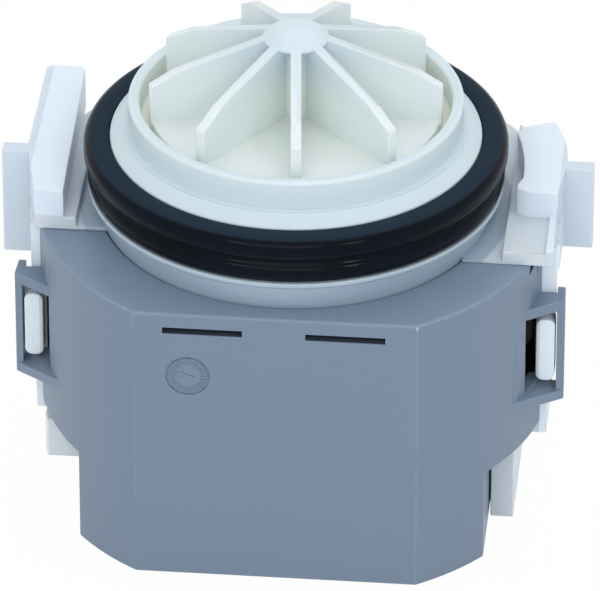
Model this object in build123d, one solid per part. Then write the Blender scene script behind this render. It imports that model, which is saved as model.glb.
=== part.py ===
from build123d import *
import os
from math import asin, cos, degrees, radians, sin, sqrt

os.makedirs("parts", exist_ok=True)

# Drain pump of a washing appliance, standing on the flat end of its motor casing.
# The origin is on the impeller axis at the foot of the casing. +Z points to the impeller
# and -Y to the flat front of the grey cover.

# Fits
seat_gap = 0.05
running_gap = 0.04
free_gap = 0.3
overrun = 1.0

# Casing, common to the grey cover and the white body
casing_radius = 42.6
casing_height = 50.4
casing_wall = 2.0
front_flat_setback = 6.8
lower_side_setback = 9.0
cover_step_height = 16.4
parting_distance = 9.4
edge_radius = 0.6

# Grey cover
slot_height = 1.1
slot_top_drop = 2.7
slot_length = 13.0
slot_middle_offset = 11.65
slot_pair_shift = 0.25
clock_mark_x = 14.3
clock_mark_drop = 11.7
clock_mark_radius = 3.65
mark_groove = 0.35
mark_depth = 0.25
notch_setback = 2.8
notch_width = 1.8
notch_depth = 2.0
yoke_rib_offset = 12.0
yoke_rib_thickness = 1.6

# Snap loops on the cover
loop_reach = 3.0
loop_wall = 1.3
loop_drop = 8.4
loop_height = 19.3
loop_web = 1.8
loop_front_reach = 2.6
loop_root_reach = 6.8
loop_low_root_reach = 10.8
loop_rear_lap = 1.6
loop_lean = 0.2
loop_foot_rise = 2.4
window_height = 14.2

# Pump head: drum, gasket seat, shoulder, spigot rim and chamber floor
drum_sink = 1.7
drum_setback = 9.0
drum_draft = 2.0
drum_wall = 2.0
drum_rise = 5.9
seat_ledge_thickness = 1.4
shoulder_rise = 1.7
rim_root = 0.9
rim_step = 0.35
rim_setback = 7.4
rim_wall = 1.9
rim_depth = 4.3
rim_chamfer = 0.35
floor_rise = 0.8
floor_thickness = 2.0
head_rib_count = 8
head_rib_thickness = 1.4
head_rib_height = 6.0

# Gasket
gasket_overhang = 1.4
gasket_width = 4.35
gasket_height = 8.2
gasket_fit = 0.1
gasket_groove_depth = 1.5
gasket_crown = 0.7
gasket_corner = 0.6

# Flange and bayonet ears
flange_overhang = 1.1
flange_thickness = 2.4
flange_foot_thickness = 0.7
flange_plate_setback = 7.3
flange_rim_width = 1.3
flange_rim_rise = 0.8
flange_front_left = 11.5
flange_front_right = 15.5
flange_right_setback = 13.9
ear_rise = 7.5
ear_edge = 0.8
left_ear_clearance = 2.3
left_ear_width = 7.6
left_ear_taper = 2.8
left_ear_front_y = 11.5
left_ear_swell_y = 2.0
left_ear_rear_setback = 13.6
left_ear_rear_slant = 1.2
left_ear_inner_taper = 1.0
right_ear_clearance = 2.5
right_ear_width = 6.9
right_ear_outer_taper = 0.8
right_ear_nose_offset = 0.3
right_ear_toe_offset = 1.9
right_ear_heel_offset = 2.9
right_ear_front_y = 4.5
right_ear_mid_y = 7.0
right_ear_toe_y = 14.0
right_ear_rear_y = 18.4
right_ear_nose_cut = 2.2
tab_overhang = 6.4
tab_thickness = 2.7
left_tab_y = 1.9
left_tab_height = 19.5
right_tab_y = 4.65
right_tab_height = 15.1

# Snap arms of the white body
left_arm_step = 0.4
right_arm_step = 1.1
arm_depth = 4.0
hook_drop = 3.7
hook_height = 11.8
hook_width = 3.1
hook_clearance = 0.1
hook_reach = 3.2
hook_corner = 1.2
leg_step = 1.6
leg_setback = 1.3
leg_drop = 5.0

# Rear shell of the white body
shell_side_step = 0.1
foot_side_setback = 4.9
foot_rear_setback = 11.6
foot_lap = 4.6
can_socket_depth = 4.0
can_socket_wall = 2.0
vent_count = 7
vent_width = 2.0
vent_height = 16.0
vent_lift = 1.1
vent_step_angle = 10.0
rear_rib_count = 3
rear_rib_spacing = 14.0
rear_rib_depth = 1.6
rear_rib_thickness = 2.0

# Rotor can and the cap in its mouth
can_radius = 13.5
can_wall = 0.9
can_foot_height = 5.0
can_floor = 1.5
can_flange_width = 3.5
can_flange_thickness = 1.4
bearing_ring_wall = 1.2
bearing_ring_height = 5.5
cap_depth = 11.0
cap_sleeve_depth = 12.4
cap_wall = 2.0
cap_top = 2.2
cap_sleeve_wall = 1.5

# Shaft, bearings, grommets and washers
shaft_radius = 1.6
shaft_foot_inset = 0.45
shaft_head_inset = 0.6
shaft_chamfer = 0.3
bearing_radius = 4.5
bearing_length = 6.0
bearing_chamfer = 0.4
front_bearing_depth = 12.8
grommet_wall = 2.4
grommet_floor = 1.0
grommet_groove = 0.8
lip_seal_radius = 3.9
lip_seal_height = 2.4
lip_height = 0.5
washer_radius = 4.0
washer_thickness = 0.8

# Rotor magnet and its moulded sleeve with the drive cup
rotor_air_gap = 0.6
rotor_foot_space = 9.85
magnet_bore = 3.4
magnet_chamfer = 0.5
sleeve_cap = 1.3
sleeve_cap_inset = 0.6
cup_height = 6.2
cup_wall = 1.8
sleeve_key_width = 2.0
cup_dog_angle = 90.0

# Driver on the shaft
driver_radius = 4.2
driver_height = 7.6
driver_end_float = 0.76
lug_clearance = 1.5
driver_lug_height = 5.0
driver_lug_angle = 56.0
damper_thickness = 1.0

# Impeller
vane_count = 9
vane_first_angle = -84.55
vane_thickness = 1.75
impeller_clearance = 1.4
vane_tip_rise = 4.5
vane_break_setback = 4.1
vane_break_rise = 2.4
vane_root_rise = 5.0
vane_root_radius = 4.4
vane_inner_radius = 2.4
disc_setback = 0.3
disc_thickness = 1.6
disc_floor_gap = 0.6
hub_radius = 3.5
hub_crown_radius = 5.6
hub_crown_drop = 0.6
hub_crown_rise = 2.2
hub_neck_drop = 2.0

# Stator
stack_inset = 2.0
limb_width = 9.0
yoke_clearance = 2.6
yoke_depth = 9.0
yoke_corner = 11.5
pole_half_width = 8.0
pole_arc_angle = 96.0
pole_shoe = 3.0
bobbin_half_length = 10.5
bobbin_flange = 1.2
bobbin_wall = 0.8
coil_can_gap = 1.8
coil_side_gap = 1.8
coil_floor_space = 4.5
winding_setback = 0.7
winding_corner = 5.0
flange_corner = 3.0

# Thermal protector and link lead
protector_length = 12.0
protector_depth = 4.0
protector_height = 5.0
protector_corner = 1.2
lead_radius = 0.7
lead_inset = 2.7
lead_drop = 3.5
lead_reach = 6.5
lead_bend = 4.0

# Connector
socket_setback = 1.6
socket_depth = 13.5
socket_front_reach = 3.85
socket_neck_setback = 0.4
socket_rear_y = 9.25
socket_height = 7.2
socket_head = 2.0
socket_lip_width = 1.5
socket_wall = 1.5
socket_rib = 1.0
blade_width = 6.3
blade_thickness = 0.8
blade_pitch = 5.0
blade_recess = 2.0
blade_head = 0.4
blade_taper = 1.0

# Sizes of the casing that follow
front_distance = casing_radius - front_flat_setback
lower_half_width = casing_radius - lower_side_setback
clock_mark_height = casing_height - clock_mark_drop
notch_x = casing_radius - notch_setback
shell_side_x = casing_radius + shell_side_step
shell_inner_radius = shell_side_x - casing_wall
shell_half_width = casing_radius - foot_side_setback
shell_rear_y = casing_radius - foot_rear_setback
shell_lap_y = parting_distance + foot_lap
neck_radius = shell_inner_radius - 2 * seat_gap
loop_outer_x = casing_radius + loop_reach
loop_top = casing_height - loop_drop
loop_foot = loop_top - loop_height
loop_front_y = parting_distance + loop_front_reach
loop_root_y = parting_distance + loop_root_reach
loop_low_root_y = parting_distance + loop_low_root_reach
loop_rear_y = parting_distance - loop_rear_lap
window_bottom = loop_top - loop_web - window_height

# Sizes of the pump head and its ears that follow
drum_foot_height = casing_height - drum_sink
drum_top_radius = casing_radius - drum_setback
drum_foot_radius = drum_top_radius - drum_draft
gasket_radius = drum_top_radius + gasket_overhang
seat_radius = gasket_radius - gasket_width
gasket_bore = seat_radius + gasket_fit
seat_ledge_height = casing_height + drum_rise
drum_side_height = drum_sink + drum_rise - seat_ledge_thickness
drum_neck_radius = drum_foot_radius + drum_draft * drum_sink / drum_side_height
shoulder_start_height = seat_ledge_height + gasket_height
shoulder_end_height = shoulder_start_height + shoulder_rise
floor_height = shoulder_end_height + floor_rise
rim_height = floor_height + rim_depth
rim_radius = gasket_radius - rim_setback
rim_bore = rim_radius - rim_wall
shoulder_end_radius = rim_radius + rim_root
flange_radius = casing_radius + flange_overhang
flange_top = casing_height + flange_thickness
flange_foot_top = casing_height + flange_foot_thickness
flange_rim_top = flange_top + flange_rim_rise
flange_plate_x = casing_radius - flange_plate_setback
flange_right_start = casing_radius - flange_right_setback
ear_height = casing_height + ear_rise
left_ear_inner_x = gasket_radius + left_ear_clearance
left_ear_outer_x = left_ear_inner_x + left_ear_width
left_ear_front_x = left_ear_outer_x - left_ear_taper
left_ear_rear_y = casing_radius - left_ear_rear_setback
left_ear_rear_x = left_ear_inner_x + left_ear_inner_taper
right_ear_inner_x = gasket_radius + right_ear_clearance
right_ear_outer_x = right_ear_inner_x + right_ear_width
right_ear_front_x = right_ear_outer_x - right_ear_outer_taper
right_ear_nose_x = right_ear_inner_x + right_ear_nose_offset
right_ear_toe_x = right_ear_inner_x - right_ear_toe_offset
right_ear_heel_x = right_ear_outer_x - right_ear_heel_offset
tab_reach = casing_radius + tab_overhang
left_tab_bottom = ear_height - left_tab_height
right_tab_bottom = ear_height - right_tab_height
left_arm_outer_x = shell_side_x + left_arm_step
right_arm_outer_x = shell_side_x + right_arm_step
hook_top = loop_top - hook_drop
hook_bottom = hook_top - hook_height
hook_outer_x = loop_outer_x - loop_wall - loop_lean - hook_clearance
hook_inner_x = hook_outer_x - hook_width
hook_front_y = parting_distance + hook_reach
leg_outer_x = shell_side_x + leg_step
leg_front_y = parting_distance - leg_setback
leg_bottom = casing_height - leg_drop

# Levels and sizes of the rotor and the impeller that follow
can_bore = can_radius - can_wall
can_flange_radius = can_radius + can_flange_width
can_socket_height = can_foot_height + can_socket_depth
cap_foot_height = floor_height - cap_depth
cap_sleeve_foot = floor_height - cap_sleeve_depth
grommet_radius = bearing_radius + seat_gap + grommet_wall
rear_bearing_foot = can_foot_height + can_floor + grommet_floor + seat_gap
rear_bearing_top = rear_bearing_foot + bearing_length
front_bearing_foot = floor_height - front_bearing_depth
front_bearing_top = front_bearing_foot + bearing_length
rear_washer_foot = rear_bearing_top + running_gap
front_washer_foot = front_bearing_foot - running_gap - washer_thickness
driver_top = front_washer_foot - driver_end_float
driver_foot = driver_top - driver_height
cup_floor = driver_foot - free_gap
cup_top = cup_floor + cup_height
magnet_top = cup_floor - sleeve_cap
magnet_foot = rear_bearing_top + rotor_foot_space
magnet_radius = can_bore - rotor_air_gap
sleeve_cap_radius = magnet_radius - sleeve_cap_inset
cup_bore = sleeve_cap_radius - cup_wall
driver_lug_radius = cup_bore - lug_clearance
disc_foot = floor_height + disc_floor_gap
vane_tip_radius = rim_bore - impeller_clearance
vane_tip_height = rim_height + vane_tip_rise
vane_break_radius = vane_tip_radius - vane_break_setback
vane_break_height = vane_tip_height + vane_break_rise
vane_root_height = vane_break_height + vane_root_rise
disc_radius = vane_tip_radius - disc_setback
hub_crown_height = vane_root_height - hub_crown_drop
hub_top_height = hub_crown_height + hub_crown_rise
hub_neck_height = hub_crown_height - hub_neck_drop
shaft_foot_height = rear_bearing_foot + shaft_foot_inset
shaft_head_height = hub_neck_height - shaft_head_inset

# Levels and sizes of the stator and the socket that follow
stack_foot = magnet_foot + stack_inset
stack_top = magnet_top - stack_inset
stack_height = stack_top - stack_foot
coil_top = casing_height - casing_wall - free_gap
coil_foot = stack_foot + stack_top - coil_top
shell_step_height = coil_foot - coil_floor_space
vent_middle_height = (shell_step_height + casing_height) / 2 + vent_lift
stator_bore = can_radius + free_gap
yoke_outer_y = front_distance - casing_wall - yoke_clearance
flange_inner_x = can_radius + coil_can_gap
flange_outer_x = shell_inner_radius - coil_side_gap
limb_middle_x = (flange_inner_x + flange_outer_x) / 2
lead_start_x = flange_inner_x + lead_inset
lead_height = coil_top - lead_drop
lead_reach_y = bobbin_half_length + lead_reach
socket_outer_x = casing_radius - socket_setback
socket_inner_x = socket_outer_x - socket_depth
socket_front_y = parting_distance + socket_front_reach
socket_neck_front_y = parting_distance - socket_neck_setback
socket_foot = shell_step_height - socket_height
socket_top = shell_step_height + casing_wall + socket_head
blade_tip = socket_foot + blade_recess
blade_top = socket_top + blade_head


def block(x, y, z):
    """A box between two values on each axis."""
    size = [high - low for low, high in (x, y, z)]
    middle = [(low + high) / 2 for low, high in (x, y, z)]
    return Pos(*middle) * Box(*size)


def tube(outer, inner, bottom, top):
    """A ring about the Z axis."""
    profile = Polygon((inner, bottom), (outer, bottom), (outer, top), (inner, top), align=None)
    return turned(profile)


def turned(profile):
    """A profile drawn as radius and height, turned about the Z axis."""
    return revolve(Plane.XZ * profile, Axis.Z, 360)


def rod(radius, bottom, top):
    return Pos(0, 0, bottom) * Cylinder(radius, top - bottom, align=(Align.CENTER, Align.CENTER, Align.MIN))


def raised(plan, bottom, top):
    """A plan drawn in XY, raised between two heights."""
    return Pos(0, 0, bottom) * extrude(plan, amount=top - bottom)


def patch(x, y):
    """A rectangle between two values on each axis."""
    return Pos((x[0] + x[1]) / 2, (y[0] + y[1]) / 2) * Rectangle(x[1] - x[0], y[1] - y[0])


def sector(inner, outer, angle, direction):
    """A ring sector of a whole angle about a direction, both in degrees."""
    half = angle / 2
    arc_ends = [direction - half, direction, direction + half]
    far = [(outer * cos(radians(a)), outer * sin(radians(a))) for a in arc_ends]
    near = [(inner * cos(radians(a)), inner * sin(radians(a))) for a in arc_ends]
    outline = [
        ThreePointArc(*far),
        Line(far[2], near[2]),
        ThreePointArc(near[2], near[1], near[0]),
        Line(near[0], far[0]),
    ]
    return make_face(outline)


def mirrored(shape):
    return mirror(shape, about=Plane.YZ)


def flat_edges(shape, height):
    """The edges of a shape that lie flat at one height."""
    return [e for e in shape.edges() if abs(e.bounding_box().min.Z - height) < seat_gap
            and abs(e.bounding_box().max.Z - height) < seat_gap]


# Casing plans
def front_plan(radius, flat, half_width, rear_y):
    """The cover in plan: a disc cut flat at the front, at the sides and at the parting line."""
    return Circle(radius) & patch((-half_width, half_width), (-flat, -rear_y))


def motor_cover():
    """Grey front shell with its two snap loops."""
    lower = front_plan(casing_radius, front_distance, lower_half_width, parting_distance)
    upper = front_plan(casing_radius, front_distance, casing_radius, parting_distance)
    shell = raised(lower, 0, casing_height) + raised(upper, cover_step_height, casing_height)
    rim_edges = [e for e in flat_edges(shell, casing_height)
                 if e.center().Y < -parting_distance - edge_radius]
    shell = fillet(rim_edges, edge_radius)
    inner_radius = casing_radius - casing_wall
    inner_flat = front_distance - casing_wall
    open_rear = parting_distance - overrun
    hollow_low = front_plan(inner_radius, inner_flat, lower_half_width - casing_wall, open_rear)
    hollow_high = front_plan(inner_radius, inner_flat, inner_radius, open_rear)
    ceiling = casing_height - casing_wall
    shell -= raised(hollow_low, casing_wall, ceiling)
    shell -= raised(hollow_high, cover_step_height + casing_wall, ceiling)
    shell -= rod(drum_neck_radius + free_gap / 2, ceiling - overrun, casing_height + overrun)
    slot_top = casing_height - slot_top_drop
    for side in (-1, 1):
        middle = side * slot_middle_offset - slot_pair_shift
        shell -= block((middle - slot_length / 2, middle + slot_length / 2),
                       (-front_distance - overrun, -inner_flat + overrun),
                       (slot_top - slot_height, slot_top))
        rib_x = side * yoke_rib_offset
        shell += block((rib_x - yoke_rib_thickness / 2, rib_x + yoke_rib_thickness / 2),
                       (-inner_flat - casing_wall / 2, -yoke_outer_y - seat_gap),
                       (casing_wall / 2, stack_top))
    groove = Plane(origin=(-clock_mark_x, -front_distance, clock_mark_height), z_dir=(0, 1, 0))
    ring = Circle(clock_mark_radius) - Circle(clock_mark_radius - mark_groove)
    shell -= extrude(groove * ring, amount=mark_depth)
    notch = Polygon(
        (notch_x, casing_height - notch_depth), (notch_x + notch_width, casing_height),
        (notch_x + notch_width, casing_height + overrun), (notch_x, casing_height + overrun), align=None)
    shell -= along_y(notch, -casing_radius, -parting_distance) & \
        tube(casing_radius + overrun, shell_inner_radius, ceiling - overrun, casing_height + overrun)
    loop = snap_loop()
    window = loop_window()
    return shell - window - mirrored(window) + loop + mirrored(loop)


def loop_web_plan(root_y):
    """Plan of a web that runs from the cover out to the loop's wall."""
    root_x = sqrt(casing_radius ** 2 - root_y ** 2)
    root_depth = casing_wall / 2
    inner_wall_x = loop_outer_x - loop_wall
    web_rear = parting_distance + free_gap
    seam_x = sqrt(casing_radius ** 2 - web_rear ** 2)
    return Polygon(
        (root_x - root_depth, -root_y + root_depth), (root_x, -root_y),
        (loop_outer_x, -loop_front_y), (loop_outer_x - loop_lean, -loop_rear_y),
        (inner_wall_x - loop_lean, -loop_rear_y), (inner_wall_x - loop_lean, -web_rear),
        (seam_x - root_depth, -web_rear), align=None)


def snap_loop():
    """Right-hand loop: an outer wall on a flat upper web and a sloping lower web."""
    inner_wall_x = loop_outer_x - loop_wall
    wall = Polygon(
        (loop_outer_x, -loop_front_y), (loop_outer_x - loop_lean, -loop_rear_y),
        (inner_wall_x - loop_lean, -loop_rear_y), (inner_wall_x, -loop_front_y - loop_wall / 2), align=None)
    loop = raised(loop_web_plan(loop_root_y), loop_top - loop_web, loop_top)
    low_root_x = sqrt(casing_radius ** 2 - loop_low_root_y ** 2)
    start_x = low_root_x - casing_wall
    start_z = loop_foot + loop_foot_rise
    slope = along_y(Polygon(
        (start_x, start_z), (loop_outer_x, loop_foot), (loop_outer_x, loop_foot + loop_web),
        (start_x, start_z + loop_web), align=None), -casing_radius, 0)
    foot_web = raised(loop_web_plan(loop_low_root_y), 0, casing_height) & slope
    return loop + foot_web + raised(wall, loop_foot + loop_web / 2, loop_top)


def loop_window():
    """Opening in the side of the cover that the right-hand loop bridges."""
    root_x = sqrt(casing_radius ** 2 - loop_root_y ** 2)
    return block((root_x - 2 * casing_wall, casing_radius + overrun), (-loop_root_y, 0),
                 (window_bottom, loop_top - loop_web))


def head_profile():
    """Drum, gasket seat, shoulder, spigot rim and chamber floor as radius and height."""
    ledge_foot = seat_ledge_height - seat_ledge_thickness
    under_floor = floor_height - floor_thickness
    inner_top = seat_radius - drum_wall
    flange_recess = floor_height - can_flange_thickness
    recess_radius = can_flange_radius + seat_gap
    hole = can_radius + seat_gap
    return Polygon(
        (drum_foot_radius, drum_foot_height), (drum_top_radius, ledge_foot),
        (gasket_radius - gasket_corner, seat_ledge_height - seat_ledge_thickness / 2),
        (gasket_radius - gasket_corner, seat_ledge_height), (seat_radius, seat_ledge_height),
        (seat_radius, shoulder_start_height), (shoulder_end_radius, shoulder_end_height),
        (shoulder_end_radius, shoulder_end_height + rim_step), (rim_radius, shoulder_end_height + rim_step),
        (rim_radius, rim_height - rim_chamfer), (rim_radius - rim_chamfer, rim_height),
        (rim_bore + rim_chamfer, rim_height), (rim_bore, rim_height - rim_chamfer),
        (rim_bore, floor_height), (recess_radius, floor_height), (recess_radius, flange_recess),
        (hole, flange_recess), (hole, under_floor), (inner_top, under_floor),
        (inner_top, seat_ledge_height), (drum_foot_radius - drum_wall, ledge_foot - drum_wall),
        (drum_foot_radius - drum_wall, drum_foot_height), align=None)


def pump_head():
    head = turned(head_profile())
    under_floor = floor_height - floor_thickness
    rib_top = under_floor + (floor_thickness - can_flange_thickness) / 2
    for i in range(head_rib_count):
        rib = block((can_radius + free_gap, seat_radius - drum_wall / 2),
                    (-head_rib_thickness / 2, head_rib_thickness / 2),
                    (under_floor - head_rib_height, rib_top))
        head += Rot(0, 0, (i + 1 / 2) * 360 / head_rib_count) * rib
    return head


def flange_plate():
    """Low round flange with a thicker plate under each ear and a raised edge at the front right."""
    reach = flange_radius + overrun
    left = patch((-reach, flange_right_start), (-flange_front_left, reach))
    right = patch((flange_right_start, reach), (-flange_front_right, reach))
    disc = Circle(flange_radius) & (left + right)
    between = patch((-flange_plate_x, flange_plate_x), (-reach, reach))
    flange = raised(disc - Circle(drum_foot_radius - drum_wall / 2), casing_height, flange_foot_top)
    corner = patch((flange_plate_x, right_ear_front_x), (-flange_front_right, -right_ear_front_y))
    edge = block((right_ear_front_x - flange_rim_width, right_ear_front_x),
                 (-flange_front_right, -right_ear_front_y), (casing_height, flange_rim_top))
    return flange + raised(disc - between + corner, casing_height, flange_top) + edge


def left_ear():
    """Long bayonet bar with a finger tab."""
    rear = -left_ear_rear_x
    outer = -left_ear_outer_x
    plan = Polygon(
        (-left_ear_inner_x, -left_ear_front_y), (rear, left_ear_rear_y - left_ear_rear_slant),
        (rear - left_ear_rear_slant / 2, left_ear_rear_y), (outer + ear_edge, left_ear_rear_y),
        (outer, left_ear_rear_y - ear_edge), (outer, left_ear_swell_y),
        (-left_ear_front_x, -left_ear_front_y), align=None)
    bar = raised(plan, casing_height, ear_height)
    tab = block((-tab_reach, -left_ear_outer_x + ear_edge),
                (left_tab_y - tab_thickness / 2, left_tab_y + tab_thickness / 2),
                (left_tab_bottom, ear_height))
    return bar + tab


def right_ear():
    """Short bayonet bar with a cut nose and a curved heel, and its finger tab."""
    front_y = -right_ear_front_y
    tip_x = right_ear_nose_x - right_ear_nose_cut / 2
    toe = (right_ear_toe_x, right_ear_toe_y)
    toe_end = (right_ear_toe_x + ear_edge, right_ear_toe_y + right_ear_nose_cut)
    heel = (right_ear_heel_x, right_ear_rear_y)
    outer_bow = ((right_ear_heel_x + right_ear_outer_x) / 2 + ear_edge,
                 (right_ear_rear_y + right_ear_front_y) / 2 + ear_edge)
    points = [
        (right_ear_front_x, front_y), (right_ear_nose_x + right_ear_nose_cut / 2, front_y),
        (tip_x, front_y + right_ear_nose_cut / 2), (tip_x, front_y + right_ear_nose_cut),
        (right_ear_inner_x, front_y + 2 * right_ear_nose_cut)]
    outline = [Line(a, b) for a, b in zip(points, points[1:])]
    outline += [
        ThreePointArc(points[-1], (right_ear_inner_x - ear_edge / 2, right_ear_mid_y), toe),
        Line(toe, toe_end),
        Line(toe_end, heel),
        ThreePointArc(heel, outer_bow, (right_ear_outer_x, right_tab_y)),
        Line((right_ear_outer_x, right_tab_y), points[0]),
    ]
    bar = raised(make_face(outline), casing_height, ear_height)
    tab = block((right_ear_outer_x - ear_edge, tab_reach),
                (right_tab_y - tab_thickness / 2, right_tab_y + tab_thickness / 2),
                (right_tab_bottom, ear_height))
    return bar + tab


def snap_arm(outer_x):
    """Right-hand arm that hangs from the ear, with its hook head."""
    arm = block((shell_side_x - casing_wall / 2, outer_x), (-parting_distance, -parting_distance + arm_depth),
                (hook_bottom, flange_top))
    head = (Pos((hook_inner_x + hook_outer_x) / 2, (hook_bottom + hook_top) / 2)
            * RectangleRounded(hook_outer_x - hook_inner_x, hook_top - hook_bottom, hook_corner))
    return arm + along_y(head, -hook_front_y, -parting_distance)


def right_leg():
    """Thicker strip under the right ear."""
    return block((shell_side_x - casing_wall / 2, leg_outer_x), (-leg_front_y, right_tab_y),
                 (leg_bottom, casing_height + flange_thickness / 2))


def shell_plan(radius):
    """Half round at the rear with straight sides up to the parting line."""
    half_round = Circle(radius) & patch((-radius, radius), (0, radius))
    return half_round + patch((-radius, radius), (-parting_distance, 0))


def rear_shell():
    """Rear half of the casing: a wide round tier on a narrower foot, open to the front."""
    inner = shell_inner_radius
    wide = shell_plan(shell_side_x)
    shell = raised(wide, shell_step_height, casing_height)
    foot = Circle(casing_radius) & patch((-shell_half_width, shell_half_width),
                                         (-parting_distance, shell_rear_y))
    shell += raised(foot, 0, shell_step_height)
    wide_hollow = shell_plan(inner) + patch((-inner, inner), (-parting_distance - overrun, 0))
    shell -= raised(wide_hollow, shell_step_height + casing_wall, casing_height - overrun)
    foot_hollow = Circle(inner) & patch(
        (-shell_half_width + casing_wall, shell_half_width - casing_wall),
        (-parting_distance - overrun, shell_rear_y - casing_wall))
    shell -= raised(foot_hollow, casing_wall, casing_height - overrun)
    shell -= rod(drum_foot_radius - drum_wall / 2, casing_height - casing_wall, casing_height + overrun)
    lap = block((lower_half_width + free_gap, shell_half_width), (-shell_lap_y, -parting_distance),
                (0, shell_step_height))
    shell += lap
    socket = tube(can_radius + seat_gap + can_socket_wall, can_radius + seat_gap, casing_wall / 2,
                  can_socket_height)
    reach = casing_radius
    shell += socket & block((-reach, reach), (-parting_distance, reach), (0, casing_height))
    pad = rod(can_radius + can_socket_wall / 2, casing_wall / 2, can_foot_height - seat_gap)
    shell += pad & block((-reach, reach), (-parting_distance, reach), (0, casing_height))
    return shell + socket_bay_walls() - socket_bay()


def socket_bay_walls():
    """Walls that part the socket's bay from the inside of the foot."""
    inner = -socket_inner_x + seat_gap
    rear = socket_rear_y + seat_gap
    return block((-shell_half_width + casing_wall / 2, inner + casing_wall),
                 (-parting_distance, rear + casing_wall), (0, shell_step_height + casing_wall))


def socket_bay():
    """Space that the socket takes out of the shell: the bay below the step and the neck hole."""
    inner = -socket_inner_x + seat_gap
    rear = socket_rear_y + seat_gap
    neck = Circle(neck_radius + seat_gap) & patch((-shell_inner_radius, inner),
                                                  (-socket_neck_front_y - seat_gap, rear))
    bay = patch((-casing_radius - overrun, inner), (-socket_front_y - overrun, rear))
    hole = raised(neck, shell_step_height - overrun, shell_step_height + casing_wall + overrun)
    return raised(bay, -overrun, shell_step_height) + hole


def rear_vents():
    """Cooling slots round the back of the wide tier."""
    slots = []
    for i in range(vent_count):
        turn = (i - (vent_count - 1) / 2) * vent_step_angle
        slot = block((-vent_width / 2, vent_width / 2),
                     (shell_inner_radius - overrun, casing_radius + overrun),
                     (vent_middle_height - vent_height / 2, vent_middle_height + vent_height / 2))
        slots.append(Rot(0, 0, turn) * slot)
    return slots


def pump_body():
    """White moulding: pump head, flange, ears, snap arms and rear shell."""
    body = pump_head() + flange_plate() + rear_shell()
    for slot in rear_vents():
        body -= slot
    body += left_ear() + mirrored(snap_arm(left_arm_outer_x))
    body += right_ear() + right_leg() + snap_arm(right_arm_outer_x)
    for i in range(rear_rib_count):
        x = (i - (rear_rib_count - 1) / 2) * rear_rib_spacing
        body += block((x - rear_rib_thickness / 2, x + rear_rib_thickness / 2),
                      (shell_rear_y - casing_wall / 2, shell_rear_y + rear_rib_depth), (0, shell_step_height))
    return body


def seal_ring():
    """Gasket with a broad top, an upper lip, a groove and a lower bead."""
    foot = seat_ledge_height
    top = shoulder_start_height
    height = top - foot
    shares = [0.0, 0.12, 0.34, 0.42, 0.50, 0.58, 0.86]
    z = [foot + share * height for share in shares]
    groove = gasket_radius - gasket_groove_depth
    outline = [
        Line((gasket_bore, z[0]), (gasket_radius - gasket_corner * 2, z[0])),
        ThreePointArc((gasket_radius - gasket_corner * 2, z[0]), (gasket_radius - gasket_corner / 2, z[1]),
                      (gasket_radius - gasket_corner, z[2])),
        Line((gasket_radius - gasket_corner, z[2]), (groove, z[3])),
        Line((groove, z[3]), (groove, z[4])),
        Line((groove, z[4]), (gasket_radius, z[5])),
        Line((gasket_radius, z[5]), (gasket_radius, z[6])),
        ThreePointArc((gasket_radius, z[6]), (gasket_radius - gasket_corner / 2, top - gasket_crown / 2),
                      (gasket_radius - gasket_corner * 2, top)),
        Line((gasket_radius - gasket_corner * 2, top), (gasket_bore, top)),
        Line((gasket_bore, top), (gasket_bore, z[0])),
    ]
    return turned(make_face(outline))


def rotor_can():
    """Thin cup that keeps the water away from the stator, hung in the chamber floor."""
    inner_floor = can_foot_height + can_floor
    ring_radius = grommet_radius + seat_gap
    ring_top = inner_floor + bearing_ring_height
    profile = Polygon(
        (0, can_foot_height), (can_radius, can_foot_height),
        (can_radius, floor_height - can_flange_thickness),
        (can_flange_radius, floor_height - can_flange_thickness),
        (can_flange_radius, floor_height), (can_bore, floor_height), (can_bore, inner_floor),
        (ring_radius + bearing_ring_wall, inner_floor), (ring_radius + bearing_ring_wall, ring_top),
        (ring_radius, ring_top), (ring_radius, inner_floor), (0, inner_floor), align=None)
    return turned(profile)


def bearing_cap():
    """Plug in the mouth of the can that carries the front bearing."""
    outer = can_bore - seat_gap
    under_top = floor_height - cap_top
    sleeve_bore = grommet_radius + seat_gap
    seal_bore = lip_seal_radius + seat_gap
    seat = front_bearing_top + grommet_floor + seat_gap
    hole = shaft_radius + free_gap
    seal_foot = floor_height - lip_seal_height
    profile = Polygon(
        (outer, cap_foot_height), (outer, floor_height), (seal_bore, floor_height),
        (seal_bore, seal_foot), (hole, seal_foot), (hole, seat), (sleeve_bore, seat),
        (sleeve_bore, cap_sleeve_foot),
        (sleeve_bore + cap_sleeve_wall, cap_sleeve_foot), (sleeve_bore + cap_sleeve_wall, under_top),
        (outer - cap_wall, under_top), (outer - cap_wall, cap_foot_height), align=None)
    return turned(profile)


def grommet(floor_below, bearing_foot):
    """Rubber cup round a bearing, with its floor below or above it."""
    outer = grommet_radius
    inner = bearing_radius + seat_gap
    hole = shaft_radius + free_gap
    if floor_below:
        foot = bearing_foot - seat_gap - grommet_floor
        top = bearing_foot + bearing_length
        floor = (foot, foot + grommet_floor)
    else:
        foot = bearing_foot
        top = bearing_foot + bearing_length + seat_gap + grommet_floor
        floor = (top - grommet_floor, top)
    middle = (foot + top) / 2
    cup = tube(outer, inner, foot, top) + tube(outer, hole, *floor)
    groove_floor = outer - grommet_groove
    return cup - tube(outer + overrun, groove_floor, middle - grommet_groove, middle + grommet_groove)


def bearing(foot):
    """Sintered bush with chamfered ends."""
    bore = shaft_radius + running_gap
    top = foot + bearing_length
    c = bearing_chamfer
    return turned(Polygon(
        (bore + c, foot), (bearing_radius - c, foot), (bearing_radius, foot + c), (bearing_radius, top - c),
        (bearing_radius - c, top), (bore + c, top), (bore, top - c), (bore, foot + c), align=None))


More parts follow.
